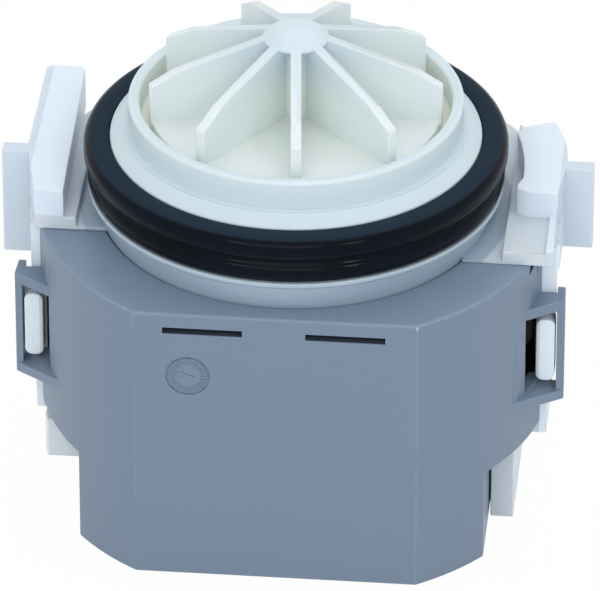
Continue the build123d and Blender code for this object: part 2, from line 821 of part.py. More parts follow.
def shaft_seal():
    """Rubber ring in the cap with a thin lip up the shaft."""
    foot = floor_height - lip_seal_height + seat_gap
    bore = shaft_radius + running_gap * 2
    profile = Polygon(
        (bore + free_gap, foot), (lip_seal_radius, foot), (lip_seal_radius, floor_height),
        (bore + lip_height * 2, floor_height), (bore + lip_height, floor_height + lip_height / 2),
        (bore, floor_height + lip_height / 2), (bore, floor_height - lip_height * 2), align=None)
    return turned(profile)


def thrust_washer(foot):
    return tube(washer_radius, shaft_radius + running_gap, foot, foot + washer_thickness)


def rotor_shaft():
    c = shaft_chamfer
    return turned(Polygon(
        (0, shaft_foot_height), (shaft_radius - c, shaft_foot_height), (shaft_radius, shaft_foot_height + c),
        (shaft_radius, shaft_head_height - c), (shaft_radius - c, shaft_head_height),
        (0, shaft_head_height), align=None))


def rotor_magnet():
    """Two-pole ferrite ring with a key slot on each side of its bore."""
    c = magnet_chamfer
    ring = turned(Polygon(
        (magnet_bore, magnet_foot), (magnet_radius - c, magnet_foot), (magnet_radius, magnet_foot + c),
        (magnet_radius, magnet_top - c), (magnet_radius - c, magnet_top), (magnet_bore, magnet_top),
        align=None))
    half = sleeve_key_width / 2 + seat_gap
    reach = magnet_bore + sleeve_key_width / 2 + seat_gap
    return ring - block((-reach, reach), (-half, half), (magnet_foot - overrun, magnet_top + overrun))


def magnet_sleeve():
    """Moulded sleeve through the magnet, with end caps, keys and the drive cup on top."""
    bore = shaft_radius + running_gap
    barrel = magnet_bore - seat_gap
    foot = rear_washer_foot + washer_thickness + running_gap
    low_cap = magnet_foot - sleeve_cap
    sleeve = tube(barrel, bore, foot, cup_floor) + tube(sleeve_cap_radius, bore, low_cap, magnet_foot)
    sleeve += tube(sleeve_cap_radius, bore, magnet_top, cup_floor)
    sleeve += tube(sleeve_cap_radius, cup_bore, cup_floor, cup_top)
    half = sleeve_key_width / 2
    reach = magnet_bore + half
    keys = block((-reach, reach), (-half, half), (magnet_foot, magnet_top))
    keys -= rod(bore, magnet_foot, magnet_top)
    dog = raised(sector(driver_radius + free_gap, cup_bore + cup_wall / 2, cup_dog_angle, 90),
                 cup_floor, cup_floor + driver_lug_height)
    return sleeve + keys + dog


def drive_dog():
    """Hub pressed on the shaft, with one lug that swings inside the cup."""
    bore = shaft_radius + seat_gap / 2
    hub = tube(driver_radius, bore, driver_foot, driver_top)
    lug = raised(sector(driver_radius - seat_gap, driver_lug_radius, driver_lug_angle, -90),
                 driver_foot, driver_foot + driver_lug_height)
    return hub + lug


def coupling_damper():
    """Rubber shoe over the lug."""
    spread = degrees(asin(damper_thickness / driver_lug_radius))
    gap = degrees(asin(seat_gap / driver_lug_radius))
    inner = driver_radius + seat_gap
    outer = driver_lug_radius + seat_gap + damper_thickness
    shoe = sector(inner, outer, driver_lug_angle + 2 * (spread + gap), -90)
    pocket = sector(inner - overrun, driver_lug_radius + seat_gap, driver_lug_angle + 2 * gap, -90)
    return raised(shoe - pocket, driver_foot, driver_foot + driver_lug_height)


def vane():
    """One flat vane in the XZ plane, pointing along +X."""
    outline = Polygon(
        (vane_inner_radius, disc_foot + disc_thickness / 2),
        (vane_tip_radius, disc_foot + disc_thickness / 2), (vane_tip_radius, vane_tip_height),
        (vane_break_radius, vane_break_height), (vane_root_radius, vane_root_height),
        (vane_inner_radius, vane_root_height), align=None)
    return extrude(Plane.XZ * outline, amount=vane_thickness / 2, both=True)


def crown_arc(radius, foot, top):
    """Arc of a dome from its foot to its top on the axis, as radius and height."""
    rise = top - foot
    dome_radius = (radius ** 2 + rise ** 2) / (2 * rise)
    half = asin(radius / dome_radius) / 2
    middle = (dome_radius * sin(half), top - dome_radius * (1 - cos(half)))
    return ThreePointArc((radius, foot), middle, (0, top))


def impeller():
    """Disc, hub and radial vanes in one moulding, with a blind bore for the shaft."""
    outline = [
        Line((0, disc_foot), (disc_radius, disc_foot)),
        Line((disc_radius, disc_foot), (disc_radius, disc_foot + disc_thickness)),
        Line((disc_radius, disc_foot + disc_thickness), (hub_radius, disc_foot + disc_thickness)),
        Line((hub_radius, disc_foot + disc_thickness), (hub_radius, hub_neck_height)),
        Line((hub_radius, hub_neck_height), (hub_crown_radius, hub_crown_height)),
        crown_arc(hub_crown_radius, hub_crown_height, hub_top_height),
        Line((0, hub_top_height), (0, disc_foot)),
    ]
    wheel = turned(make_face(outline))
    blade = vane()
    for i in range(vane_count):
        wheel += Rot(0, 0, vane_first_angle + i * 360 / vane_count) * blade
    return wheel - rod(shaft_radius + seat_gap / 2, disc_foot - overrun, shaft_head_height + seat_gap)


def core_plan():
    """Closed lamination frame with a pole at the front and one at the rear of the can."""
    outer_x = limb_middle_x + limb_width / 2
    inner_x = limb_middle_x - limb_width / 2
    inner_y = yoke_outer_y - yoke_depth
    frame = chamfer(Rectangle(2 * outer_x, 2 * yoke_outer_y).vertices(), yoke_corner)
    frame -= chamfer(Rectangle(2 * inner_x, 2 * inner_y).vertices(), yoke_corner / 4)
    for direction in (90, -90):
        frame += sector(stator_bore, stator_bore + pole_shoe, pole_arc_angle, direction)
    frame += Rectangle(2 * pole_half_width, 2 * (inner_y + yoke_depth / 2)) - Circle(stator_bore)
    return frame


def core_half(side):
    """One half of the lamination stack; the halves meet in the middle of the limbs."""
    reach = yoke_outer_y + overrun
    half = patch((-reach - limb_width, reach + limb_width), (0, reach) if side > 0 else (-reach, 0))
    return raised(core_plan() & half, stack_foot, stack_top)


def coil_section(outset, corner):
    """Rounded section of a coil in XZ, set back from the bobbin flange."""
    width = flange_outer_x - flange_inner_x - 2 * outset
    height = coil_top - coil_foot - 2 * outset
    middle = Pos((flange_outer_x + flange_inner_x) / 2, (coil_top + coil_foot) / 2)
    return middle * RectangleRounded(width, height, corner)


def limb_section(outset):
    middle = Pos(limb_middle_x, stack_foot + stack_height / 2)
    return middle * Rectangle(limb_width + 2 * outset, stack_height + 2 * outset)


def along_y(section, low, high):
    """A section drawn in XZ, run between two places along Y."""
    return Pos(0, high, 0) * extrude(Plane.XZ * section, amount=high - low)


def right_bobbin():
    """Rectangular tube with two rounded flanges."""
    half = bobbin_half_length
    tube_section = limb_section(seat_gap + bobbin_wall) - limb_section(seat_gap)
    plate = coil_section(0, flange_corner) - limb_section(seat_gap)
    spool = along_y(tube_section, -half, half)
    spool += along_y(plate, -half, -half + bobbin_flange)
    return spool + along_y(plate, half - bobbin_flange, half)


def right_winding():
    """Copper winding under its tape."""
    half = bobbin_half_length - bobbin_flange - seat_gap
    section = coil_section(winding_setback, winding_corner) - limb_section(seat_gap * 2 + bobbin_wall)
    return along_y(section, -half, half)


def thermal_protector():
    """Small sealed cut-out against the rear flange of the left bobbin."""
    foot = stack_top + free_gap
    rear = bobbin_half_length + seat_gap
    body = block((-limb_middle_x - protector_length / 2, -limb_middle_x + protector_length / 2),
                 (rear, rear + protector_depth), (foot, foot + protector_height))
    upright = [e for e in body.edges().filter_by(Axis.Z) if e.center().Y > rear + protector_depth / 2]
    return fillet(upright, protector_corner)


def link_lead():
    """Insulated lead between the two coils, bent round the back of the can."""
    start_y = bobbin_half_length + seat_gap
    route = FilletPolyline(
        (-lead_start_x, start_y, lead_height), (-lead_start_x, lead_reach_y, lead_height),
        (lead_start_x, lead_reach_y, lead_height), (lead_start_x, start_y, lead_height), radius=lead_bend)
    return sweep(Plane(origin=(-lead_start_x, start_y, lead_height), z_dir=(0, 1, 0)) * Circle(lead_radius),
                 path=route)


def socket_cavity_plan():
    """Inside of the socket in plan."""
    inner = -socket_inner_x - socket_wall
    radius = neck_radius - socket_wall
    return Circle(radius) & patch((-radius, inner), (-socket_neck_front_y + socket_wall,
                                                     socket_rear_y - socket_wall))


def connector_housing():
    """Downward-facing socket: a shroud under the step, a neck through it and a lip that holds it."""
    inner = -socket_inner_x
    shroud = patch((-socket_outer_x, inner), (-parting_distance, socket_rear_y))
    shroud += patch((-socket_outer_x, -lower_half_width - free_gap), (-socket_front_y, -parting_distance))
    shroud &= Circle(casing_radius - seat_gap)
    neck_circle = Circle(neck_radius)
    neck = neck_circle & patch((-shell_inner_radius, inner), (-socket_neck_front_y, socket_rear_y))
    lip = neck_circle & patch((-shell_inner_radius, inner + socket_lip_width),
                              (-socket_neck_front_y, socket_rear_y + socket_lip_width))
    under_step = shell_step_height - seat_gap
    housing = raised(shroud, socket_foot, under_step)
    housing += raised(neck, under_step - socket_wall, socket_top)
    housing += raised(lip, shell_step_height + casing_wall + seat_gap, socket_top)
    housing -= raised(socket_cavity_plan(), socket_foot - overrun, socket_top - socket_wall)
    for end_y, side in ((-socket_neck_front_y + socket_wall, 1), (socket_rear_y - socket_wall, -1)):
        span = sorted((end_y - side * socket_rib / 2, end_y + side * socket_rib))
        housing += block((inner - socket_wall - 2 * socket_rib, inner - socket_wall), span,
                         (socket_foot + socket_rib, socket_top - socket_wall))
    ceiling = socket_top - socket_wall
    for blade_y in blade_places():
        slot = (blade_y - blade_thickness / 2 - seat_gap, blade_y + blade_thickness / 2 + seat_gap)
        housing -= block(blade_span(seat_gap), slot, (ceiling - overrun, socket_top + overrun))
    return housing


def blade_places():
    middle = (socket_rear_y - socket_neck_front_y) / 2
    return [middle - blade_pitch / 2, middle + blade_pitch / 2]


def blade_span(gap):
    cavity = (-neck_radius + socket_wall, -socket_inner_x - socket_wall)
    middle = sum(cavity) / 2
    return (middle - blade_width / 2 - gap, middle + blade_width / 2 + gap)


def terminal_blades():
    """Two flat tabs with tapered tips."""
    low, high = blade_span(0)
    outline = Polygon(
        (low, blade_top), (low, blade_tip + blade_taper), (low + blade_taper, blade_tip),
        (high - blade_taper, blade_tip), (high, blade_tip + blade_taper), (high, blade_top), align=None)
    blades = [along_y(outline, y - blade_thickness / 2, y + blade_thickness / 2) for y in blade_places()]
    return blades


nodes = {
    "motor_cover": motor_cover(),
    "pump_body": pump_body(),
    "seal_ring": seal_ring(),
    "rotor_can": rotor_can(),
    "bearing_cap": bearing_cap(),
    "front_grommet": grommet(False, front_bearing_foot),
    "front_bearing": bearing(front_bearing_foot),
    "rear_grommet": grommet(True, rear_bearing_foot),
    "rear_bearing": bearing(rear_bearing_foot),
    "shaft_seal": shaft_seal(),
    "front_thrust_washer": thrust_washer(front_washer_foot),
    "rear_thrust_washer": thrust_washer(rear_washer_foot),
    "rotor_shaft": rotor_shaft(),
    "rotor_magnet": rotor_magnet(),
    "magnet_sleeve": magnet_sleeve(),
    "drive_dog": drive_dog(),
    "coupling_damper": coupling_damper(),
    "impeller": impeller(),
    "front_core": core_half(-1),
    "rear_core": core_half(1),
    "right_bobbin": right_bobbin(),
    "left_bobbin": mirrored(right_bobbin()),
    "right_winding": right_winding(),
    "left_winding": mirrored(right_winding()),
    "thermal_protector": thermal_protector(),
    "link_lead": link_lead(),
    "connector_housing": connector_housing(),
    "terminal_blades": Compound(children=terminal_blades()),
}

for name, shape in nodes.items():
    export_step(shape, f"parts/{name}.step")
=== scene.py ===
import math

import bmesh
import bpy
from bpy.props import FloatProperty, FloatVectorProperty, IntProperty, PointerProperty
from bpy.types import Operator, Panel, PropertyGroup
from mathutils import Matrix, Vector
from mathutils.kdtree import KDTree


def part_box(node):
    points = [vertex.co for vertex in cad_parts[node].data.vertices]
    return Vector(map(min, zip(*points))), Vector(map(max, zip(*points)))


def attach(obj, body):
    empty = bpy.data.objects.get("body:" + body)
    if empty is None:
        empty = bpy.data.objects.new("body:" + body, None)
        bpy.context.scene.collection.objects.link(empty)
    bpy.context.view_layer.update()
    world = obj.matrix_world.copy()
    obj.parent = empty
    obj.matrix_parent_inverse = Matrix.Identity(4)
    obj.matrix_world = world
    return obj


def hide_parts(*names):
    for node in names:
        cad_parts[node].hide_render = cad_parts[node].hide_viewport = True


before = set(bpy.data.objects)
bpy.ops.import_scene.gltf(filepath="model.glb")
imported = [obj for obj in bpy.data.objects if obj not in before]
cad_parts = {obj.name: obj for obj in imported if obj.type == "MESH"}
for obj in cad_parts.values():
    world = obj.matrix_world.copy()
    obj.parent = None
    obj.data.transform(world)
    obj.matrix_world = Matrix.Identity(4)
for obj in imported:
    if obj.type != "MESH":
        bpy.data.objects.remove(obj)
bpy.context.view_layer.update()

bl_info = {
    "name": "Drain pump",
    "version": (1, 0, 0),
    "blender": (4, 5, 0),
    "location": "View3D > Sidebar > Pump",
    "description": "Dresses the drain pump and sets its stage",
    "category": "Object",
}

MM = 0.001

# Meshes: points closer than this are one, faces this flat are one, and turns this sharp are corners or folds
MERGE_DISTANCE = 0.000002
FLAT_ANGLE = math.radians(0.4)
CORNER_ANGLE = math.radians(28)
FOLD_ANGLE = math.radians(150)

# Edges within some widths of a fold get half their rounding, for some tries and down to a share, and then none
FOLD_REACH = 3
HALVED_TRIES = 3
LEAST_HALVED = 0.3

# Boxes by their middle and half their size: the hooks in the loops, which get a lighter painted tone against
# the loops' shadow, and the throats of the cooling slots, which get painted shade
HOOK_BOX = ((0, -0.0265, 0.0311), (0.05, 0.0185, 0.0191))
SLOT_THROATS = ((0, -0.0335, 0.04715), (0.0195, 0.0021, 0.0006))
WIDE = 1.0

# Gasket's outline in mm: the inset from its outside with the height above its foot, then with the depth
# under its top
GASKET_SIDE = ((4.25, 0), (1.6, 0), (0.8, 0.4), (0.5, 1.2), (0.6, 2.3), (1.0, 3.0), (1.5, 3.3), (1.5, 4.1),
               (0.9, 4.4), (0.2, 4.8), (0, 5.4), (0, 6.8))
GASKET_TOP = ((0.3, 0.7), (1.0, 0.2), (2.0, 0), (3.95, 0), (4.25, 0.2))
GASKET_STEPS = 180
GASKET_CREASE = math.radians(60)
GASKET_MERGE = 0.000001
# Depth under the gasket's top where its painted sheen starts
SHEEN_DEPTH = 0.0001

# Date mark: its middle in X and Z, the way its arrow points, and its depths in reliefs; the arrow head is a
# little deeper than the bars, so that no faces coincide
MARK_PLACE = (-0.0143, 0.0387)
ARROW_TURN = math.radians(-75)
LONG_TICK_EVERY = 4
HEAD_CORNERS = 3
HEAD_DEPTH = 2.4
BAR_DEPTH = 2

# Mouldings: tint of the glow, the tone of paler edges, the share of the cover's painted edge highlight lost low
# down, the tone of painted shade, and the widths of some borders between tones
MILKY = (1.0, 1.0, 0.8)
PALE_FACTOR = 1.35
SHADE_FACTOR = 0.3
LOST_PALING = 0.85
EDGE_HIGHLIGHT_BLEND = 0.0002
INSIDE_BLEND = 0.0004
FOOT_BLEND = 0.0001

# Lamps: name, place, width in metres and power in watts, all turned to the middle of the pump
LAMPS = (("key_softbox", (-0.02, -0.95, 0.68), 0.7, 2.25),
         ("left_softbox", (-0.43, -0.84, 0.70), 0.12, 0.5),
         ("right_softbox", (0.57, -0.77, 0.70), 0.12, 0.85),
         ("top_softbox", (0.1, 0.25, 0.95), 0.8, 1.6))
LAMP_AIM = (0, 0, 0.045)
SKY = (0.90, 0.96, 1.0, 1)
SKY_STRENGTH = 0.78
WHITE = (1, 1, 1, 1)
FLOOR_HALF = 3.0
FLOOR_SEEN_SHARE = 0.97
CAMERA_AIM = (0.65, 0, 32.73)
CAMERA_SENSOR = 36.0
CAMERA_REACH = 20.0


def length_property(name, description, default):
    """A length in metres."""
    return FloatProperty(name=name, description=description, default=default, subtype="DISTANCE", unit="LENGTH")


def share_property(name, description, default):
    """A share between 0 and 1."""
    return FloatProperty(name=name, description=description, default=default, subtype="FACTOR", min=0, max=1)


def count_property(name, description, default):
    """A count of at least 1."""
    return IntProperty(name=name, description=description, default=default, min=1)


def angle_property(name, description, degrees):
    """An angle, written in degrees."""
    return FloatProperty(name=name, description=description, default=math.radians(degrees), subtype="ANGLE",
                         unit="ROTATION")


def colour_property(name, description, default):
    """A colour."""
    return FloatVectorProperty(name=name, description=description, default=default, subtype="COLOR", size=3,
                               min=0, max=1)


class PumpSizes(PropertyGroup):
    edge_width: length_property("Moulded edge", "Width of the rounded edges of the mouldings", 0.00022)
    edge_steps: count_property("Edge steps", "Facets across a rounded edge", 2)
    least_edge: length_property("Least edge", "Edges with less room than this stay sharp", 0.00003)
    rounding_tries: count_property("Rounding tries", "Attempts at a rounding without folds", 10)
    room_share: share_property("Room share", "Share of a face beside an edge that the rounding may take", 0.4)
    corner_share: share_property("Corner share", "Sine of the least turn that counts as a corner", 0.3)
    spark_grain: length_property("Spark grain", "Size of the fine grain on the moulded faces", 0.00035)
    mark_relief: length_property("Mark relief", "How far the date mark stands out of the cover", 0.00013)
    mark_ticks: count_property("Mark ticks", "Ticks round the date mark", 32)
    tick_ring: length_property("Tick ring", "Middle of the ticks from the middle of the date mark", 0.0027)
    tick_length: length_property("Tick length", "Length of a tick of the date mark", 0.0010)
    long_tick: length_property("Long tick", "Length of the long ticks of the date mark", 0.0014)
    tick_width: length_property("Tick width", "Width of a tick of the date mark", 0.00013)
    arrow_length: length_property("Arrow length", "Length of the shaft of the date mark's arrow", 0.0024)
    arrow_width: length_property("Arrow width", "Width of the shaft of the date mark's arrow", 0.00045)
    head_radius: length_property("Head radius", "Radius of the head of the date mark's arrow", 0.0008)
    head_distance: length_property("Head distance", "Arrow head from the middle of the date mark", 0.0013)
    camera_distance: length_property("Camera distance", "Camera to the middle of the pump", 1.3)
    camera_lens: FloatProperty(name="Camera lens", description="Focal length in millimetres", default=468.1,
                               subtype="DISTANCE_CAMERA", unit="CAMERA")
    camera_azimuth: angle_property("Camera azimuth", "Camera's turn round the pump from its front", 5.45)
    camera_elevation: angle_property("Camera elevation", "Camera's angle above the floor", 32.05)


class PumpPlaces(PropertyGroup):
    chamber_radius: length_property("Chamber radius", "The chamber ends here and the rim starts", 0.0252)
    ear_radius: length_property("Ear radius", "Ears, arms and rear shell lie beyond this radius", 0.0355)
    drum_height: length_property("Drum height", "The drum is greyer below this height", 0.0578)
    shell_height: length_property("Shell height", "The rear shell and the plates lie below this", 0.0532)
    tab_distance: length_property("Tab distance", "The finger tabs start here, from the middle", 0.0436)
    hook_distance: length_property("Hook distance", "The hooks start here, from the middle", 0.0415)
    inside_radius: length_property("Inside radius", "The casing's inside lies within this radius", 0.0412)
    inside_top: length_property("Inside top", "The casing's inside ends below this height", 0.0455)
    inside_foot: length_property("Inside foot", "The casing's inside starts above this height", 0.0162)
    cover_top: length_property("Cover top", "The cover's upright faces lie below this height", 0.0502)
    # Height below which the cover's painted edge highlight mostly fades.
    edge_highlight_top: length_property("Wear top", "The cover's edges show less wear below this height", 0.0498)
    hub_height: length_property("Hub height", "The hub's cooler tone starts at this height", 0.0805)
    hub_blend: length_property("Hub blend", "Height over which the hub's tone fades in", 0.006)
    vane_start: length_property("Vane start", "The vanes turn cooler from this radius", 0.008)
    vane_blend: length_property("Vane blend", "Distance over which the vanes turn cooler", 0.012)
    disc_top: length_property("Disc top", "Top of the disc that carries the vanes", 0.0697)
    hard_blend: length_property("Hard blend", "Width of a border between two tones at a corner", 0.0003)
    radius_blend: length_property("Radius blend", "Width of a border at a radius", 0.001)
    height_blend: length_property("Height blend", "Width of a border at a height", 0.002)


class PumpColours(PropertyGroup):
    cover: colour_property("Cover", "Blue grey of the motor cover", (0.205, 0.268, 0.355))
    # Painted shade: the cover's upright faces get this darker copy of the cover's blue grey.
    cover_side_shade: colour_property("Cover side", "Blue grey of the cover's upright faces", (0.178, 0.236, 0.318))
    # Painted highlight: this paler tone on the cover's rounded edges stands for the light that they catch, most
    # of all along the top.
    cover_edge_highlight: colour_property("Cover edge", "Paler tone along the cover's worn edges", (0.42, 0.50, 0.60))
    speck: colour_property("Speck", "Dark specks in the cover", (0.05, 0.06, 0.07))
    # Painted light: the chamber under the impeller, which lies in shade, is painted at full brightness with the
    # yellow-green of light glowing through the plastic.
    chamber: colour_property("Chamber", "Greener white of the chamber under the impeller", (1.0, 1.0, 0.88))
    body: colour_property("Body", "Milky white of the pump body's rim and shoulder", (0.65, 0.75, 0.79))
    # Painted shade and painted reflection: the drum under the gasket is painted darker and bluer for the
    # gasket's shade and the blue-grey cover that it reflects.
    drum: colour_property("Drum", "Greyer blue of the drum under the gasket", (0.39, 0.475, 0.56))
    # Painted light: the ears and arms are painted in a lighter, bluer copy of the body's plastic.
    ears: colour_property("Ears", "Cooler white of the thick ears and arms", (0.77, 0.84, 0.94))
    # Painted shade: the rear shell and the low plates are painted in a greyer copy of the body's plastic, for
    # the shade in the pocket in front of the ears.
    shell: colour_property("Shell", "Greyer tone of the rear shell and the low plates", (0.66, 0.715, 0.76))
    tabs: colour_property("Tabs", "Greyer tone of the thin finger tabs", (0.64, 0.71, 0.79))
    # Painted light: the hooks, which lie in the loops' shadow, are painted a brighter bluish white.
    hooks: colour_property("Hooks", "Bluish white of the hooks in the loops", (0.84, 0.92, 0.99))
    # Painted shade: the casing's inside, seen through its openings, is painted dark grey for the shadow in it.
    inside: colour_property("Inside", "Dusty grey inside the casing", (0.12, 0.13, 0.14))
    body_edge: colour_property("Body edge", "Paler edges of the pump body", (0.92, 0.93, 0.92))
    # Painted shade: the impeller's domed top is painted in a darker, cooler copy of its tone, toning down the
    # light on it.
    hub: colour_property("Hub", "Cooler white of the impeller's domed top", (0.68, 0.765, 0.81))
    impeller: colour_property("Impeller", "Greenish white of the impeller", (0.825, 0.875, 0.835))
    # Painted shade: the vanes away from the hub are painted in a darker, cooler copy of the impeller's tone,
    # toning down the light on them.
    vane_tips: colour_property("Vane tips", "Cooler white of the vanes away from the hub", (0.75, 0.81, 0.82))
    vane_edge: colour_property("Vane edge", "Paler edges of the vanes", (0.95, 0.96, 0.93))
    rubber: colour_property("Rubber", "Black of the gasket", (0.002, 0.004, 0.008))
    # Painted sheen: the gasket's flat top is painted a lighter bluish black for the light that it reflects from
    # above.
    gasket_top: colour_property("Gasket top", "Bluish black of the gasket's dusty top", (0.013, 0.025, 0.042))
    dust: colour_property("Dust", "Grey of the dust on rubber", (0.35, 0.37, 0.38))
    socket: colour_property("Socket", "White of the mains socket", (0.80, 0.83, 0.86))
    blades: colour_property("Blades", "Tinned brass of the socket's tabs", (0.72, 0.70, 0.64))
    shaft: colour_property("Shaft", "Steel of the shaft", (0.62, 0.63, 0.64))
    magnet: colour_property("Magnet", "Ferrite of the rotor's magnet", (0.05, 0.05, 0.055))
    sleeve: colour_property("Sleeve", "Natural plastic of the rotor's sleeve", (0.66, 0.64, 0.56))
    driver: colour_property("Driver", "Dark plastic of the drive dog", (0.08, 0.085, 0.095))
    damper: colour_property("Damper", "Rubber of the coupling's shoe", (0.015, 0.015, 0.015))
    washer: colour_property("Washer", "Plastic of the thrust washers", (0.78, 0.78, 0.74))
    bronze: colour_property("Bronze", "Sintered bronze of the bearings", (0.36, 0.22, 0.10))
    grommet: colour_property("Grommet", "Rubber of the bearings' cups", (0.02, 0.02, 0.02))
    lip: colour_property("Lip", "Brown rubber of the shaft seal", (0.05, 0.022, 0.012))
    can: colour_property("Can", "Plastic of the cup round the rotor", (0.62, 0.63, 0.54))
    cap: colour_property("Cap", "Plastic of the cap in the cup's mouth", (0.76, 0.80, 0.74))
    steel: colour_property("Core steel", "Oiled sheets of the core", (0.34, 0.35, 0.37))
    bobbin: colour_property("Bobbin", "Plastic of the bobbins", (0.74, 0.70, 0.56))
    tape: colour_property("Tape", "Amber of the coil tape", (0.55, 0.28, 0.05))
    protector: colour_property("Protector", "Black case of the cut-out", (0.012, 0.012, 0.014))
    lead: colour_property("Lead", "Sleeve of the lead between the coils", (0.70, 0.72, 0.72))
    floor: colour_property("Floor", "Pale floor", (0.9, 0.9, 0.9))


def sizes():
    return bpy.context.scene.pump_sizes


def places():
    return bpy.context.scene.pump_places


def colours():
    return bpy.context.scene.pump_colours


# Node helpers
def wire(tree, source, target):
    """Joins an output to an input."""
    tree.links.new(source, target)


def fill_inputs(tree, node, values):
    """Gives the inputs of a node their numbers or wires, by name or by index."""
    for name, value in values.items():
        if isinstance(value, bpy.types.NodeSocket):
            wire(tree, value, node.inputs[name])
        else:
            node.inputs[name].default_value = value
    return node


def math_node(tree, operation, *values):
    """A Math node; a value is a number or a socket."""
    node = tree.nodes.new("ShaderNodeMath")
    node.operation = operation
    return fill_inputs(tree, node, dict(enumerate(values))).outputs[0]


def vector_node(tree, operation, values):
    """A Vector Math node."""
    node = tree.nodes.new("ShaderNodeVectorMath")
    node.operation = operation
    return fill_inputs(tree, node, values)


def noise_node(tree, vector, scale, detail=2.0, rough=0.5):
    """Noise between 0 and 1."""
    node = tree.nodes.new("ShaderNodeTexNoise")
    return fill_inputs(tree, node, {
        "Vector": vector, "Scale": scale, "Detail": detail, "Roughness": rough}).outputs["Fac"]


def mix_colours(tree, factor, first, second):
    """The first colour where the factor is 0, and the second where it is 1."""
    node = tree.nodes.new("ShaderNodeMix")
    node.data_type = "RGBA"
    return fill_inputs(tree, node, {0: factor, 6: first, 7: second}).outputs[2]


def ramp_node(tree, factor, start, end, low=0.0, high=1.0):
    """Runs from low to high while the factor runs from start to end."""
    node = tree.nodes.new("ShaderNodeMapRange")
    node.clamp = True
    return fill_inputs(tree, node, {
        "Value": factor, "From Min": start, "From Max": end, "To Min": low, "To Max": high}).outputs["Result"]


def share_node(tree, distance, blend):
    """Runs from 0 to 1 over a blend."""
    node = tree.nodes.new("ShaderNodeClamp")
    return fill_inputs(tree, node, {0: math_node(tree, "DIVIDE", distance, blend)}).outputs[0]


def split_node(tree, vector):
    """The X, Y and Z of a vector."""
    return fill_inputs(tree, tree.nodes.new("ShaderNodeSeparateXYZ"), {0: vector}).outputs


def new_group(name, inputs, outputs):
    """An empty node group; returns it with the sockets that its values come from and those that they go to.

    An input is given by its default, or None for a vector, and an output by the type that a default would have.
    """
    kinds = {None: "NodeSocketVector", float: "NodeSocketFloat", tuple: "NodeSocketColor"}
    group = bpy.data.node_groups.new(name, "ShaderNodeTree")
    for label, default in inputs.items():
        kind = kinds[None if default is None else type(default)]
        socket = group.interface.new_socket(name=label, in_out="INPUT", socket_type=kind)
        if default is not None:
            socket.default_value = default
    for label, kind in outputs.items():
        group.interface.new_socket(name=label, in_out="OUTPUT", socket_type=kinds[kind])
    return group, group.nodes.new("NodeGroupInput").outputs, group.nodes.new("NodeGroupOutput").inputs


def mottle_group():
    """Slow patches of two colours, with a faster play of lighter and darker over them."""
    if "Mottle" in bpy.data.node_groups:
        return bpy.data.node_groups["Mottle"]
    group, start, end = new_group(
        "Mottle", {"Vector": None, "Colour": WHITE, "Second Colour": WHITE, "Scale": 60.0, "Spread": 0.05},
        {"Colour": tuple})
    slow = noise_node(group, start["Vector"], start["Scale"], detail=3.0, rough=0.55)
    turned = mix_colours(group, ramp_node(group, slow, start=0.35, end=0.65), start["Colour"],
                         start["Second Colour"])
    fast_scale = math_node(group, "MULTIPLY", start["Scale"], 6.0)
    fast = noise_node(group, start["Vector"], fast_scale, rough=0.6)
    swing = math_node(group, "MULTIPLY", math_node(group, "SUBTRACT", fast, 0.5), start["Spread"])
    tone = math_node(group, "ADD", 1.0, swing)
    bright = vector_node(group, "SCALE", {0: turned, "Scale": tone})
    wire(group, bright.outputs[0], end["Colour"])
    return group


def grain_group():
    """Fine moulded grain with a slow wave under it, and the gloss that goes with it."""
    if "Grain" in bpy.data.node_groups:
        return bpy.data.node_groups["Grain"]
    group, start, end = new_group(
        "Grain", {"Vector": None, "Grain Scale": 2800.0, "Wave Scale": 90.0, "Wave Share": 0.4,
                  "Roughness": 0.5, "Roughness Spread": 0.1},
        {"Height": float, "Roughness": float})
    fine = noise_node(group, start["Vector"], start["Grain Scale"], detail=1.0)
    wave = noise_node(group, start["Vector"], start["Wave Scale"])
    swell = math_node(group, "MULTIPLY", wave, start["Wave Share"])
    wire(group, math_node(group, "ADD", fine, swell), end["Height"])
    offset = math_node(group, "MULTIPLY", math_node(group, "SUBTRACT", wave, 0.5), start["Roughness Spread"])
    wire(group, math_node(group, "ADD", start["Roughness"], offset), end["Roughness"])
    return group


def specks_group():
    """Rare small specks, as in moulded plastic and dust on rubber."""
    if "Specks" in bpy.data.node_groups:
        return bpy.data.node_groups["Specks"]
    group, start, end = new_group(
        "Specks", {"Vector": None, "Colour": WHITE, "Speck Colour": WHITE, "Scale": 220.0, "Size": 0.06,
                   "Share": 0.06, "Strength": 0.7},
        {"Colour": tuple})
    cells = fill_inputs(group, group.nodes.new("ShaderNodeTexVoronoi"), {
        "Vector": start["Vector"], "Scale": start["Scale"]})
    near = math_node(group, "LESS_THAN", cells.outputs["Distance"], start["Size"])
    split = fill_inputs(group, group.nodes.new("ShaderNodeSeparateColor"), {0: cells.outputs["Color"]})
    chosen = math_node(group, "LESS_THAN", split.outputs[0], start["Share"])
    mask = math_node(group, "MULTIPLY", math_node(group, "MULTIPLY", near, chosen), start["Strength"])
    wire(group, mix_colours(group, mask, start["Colour"], start["Speck Colour"]), end["Colour"])
    return group


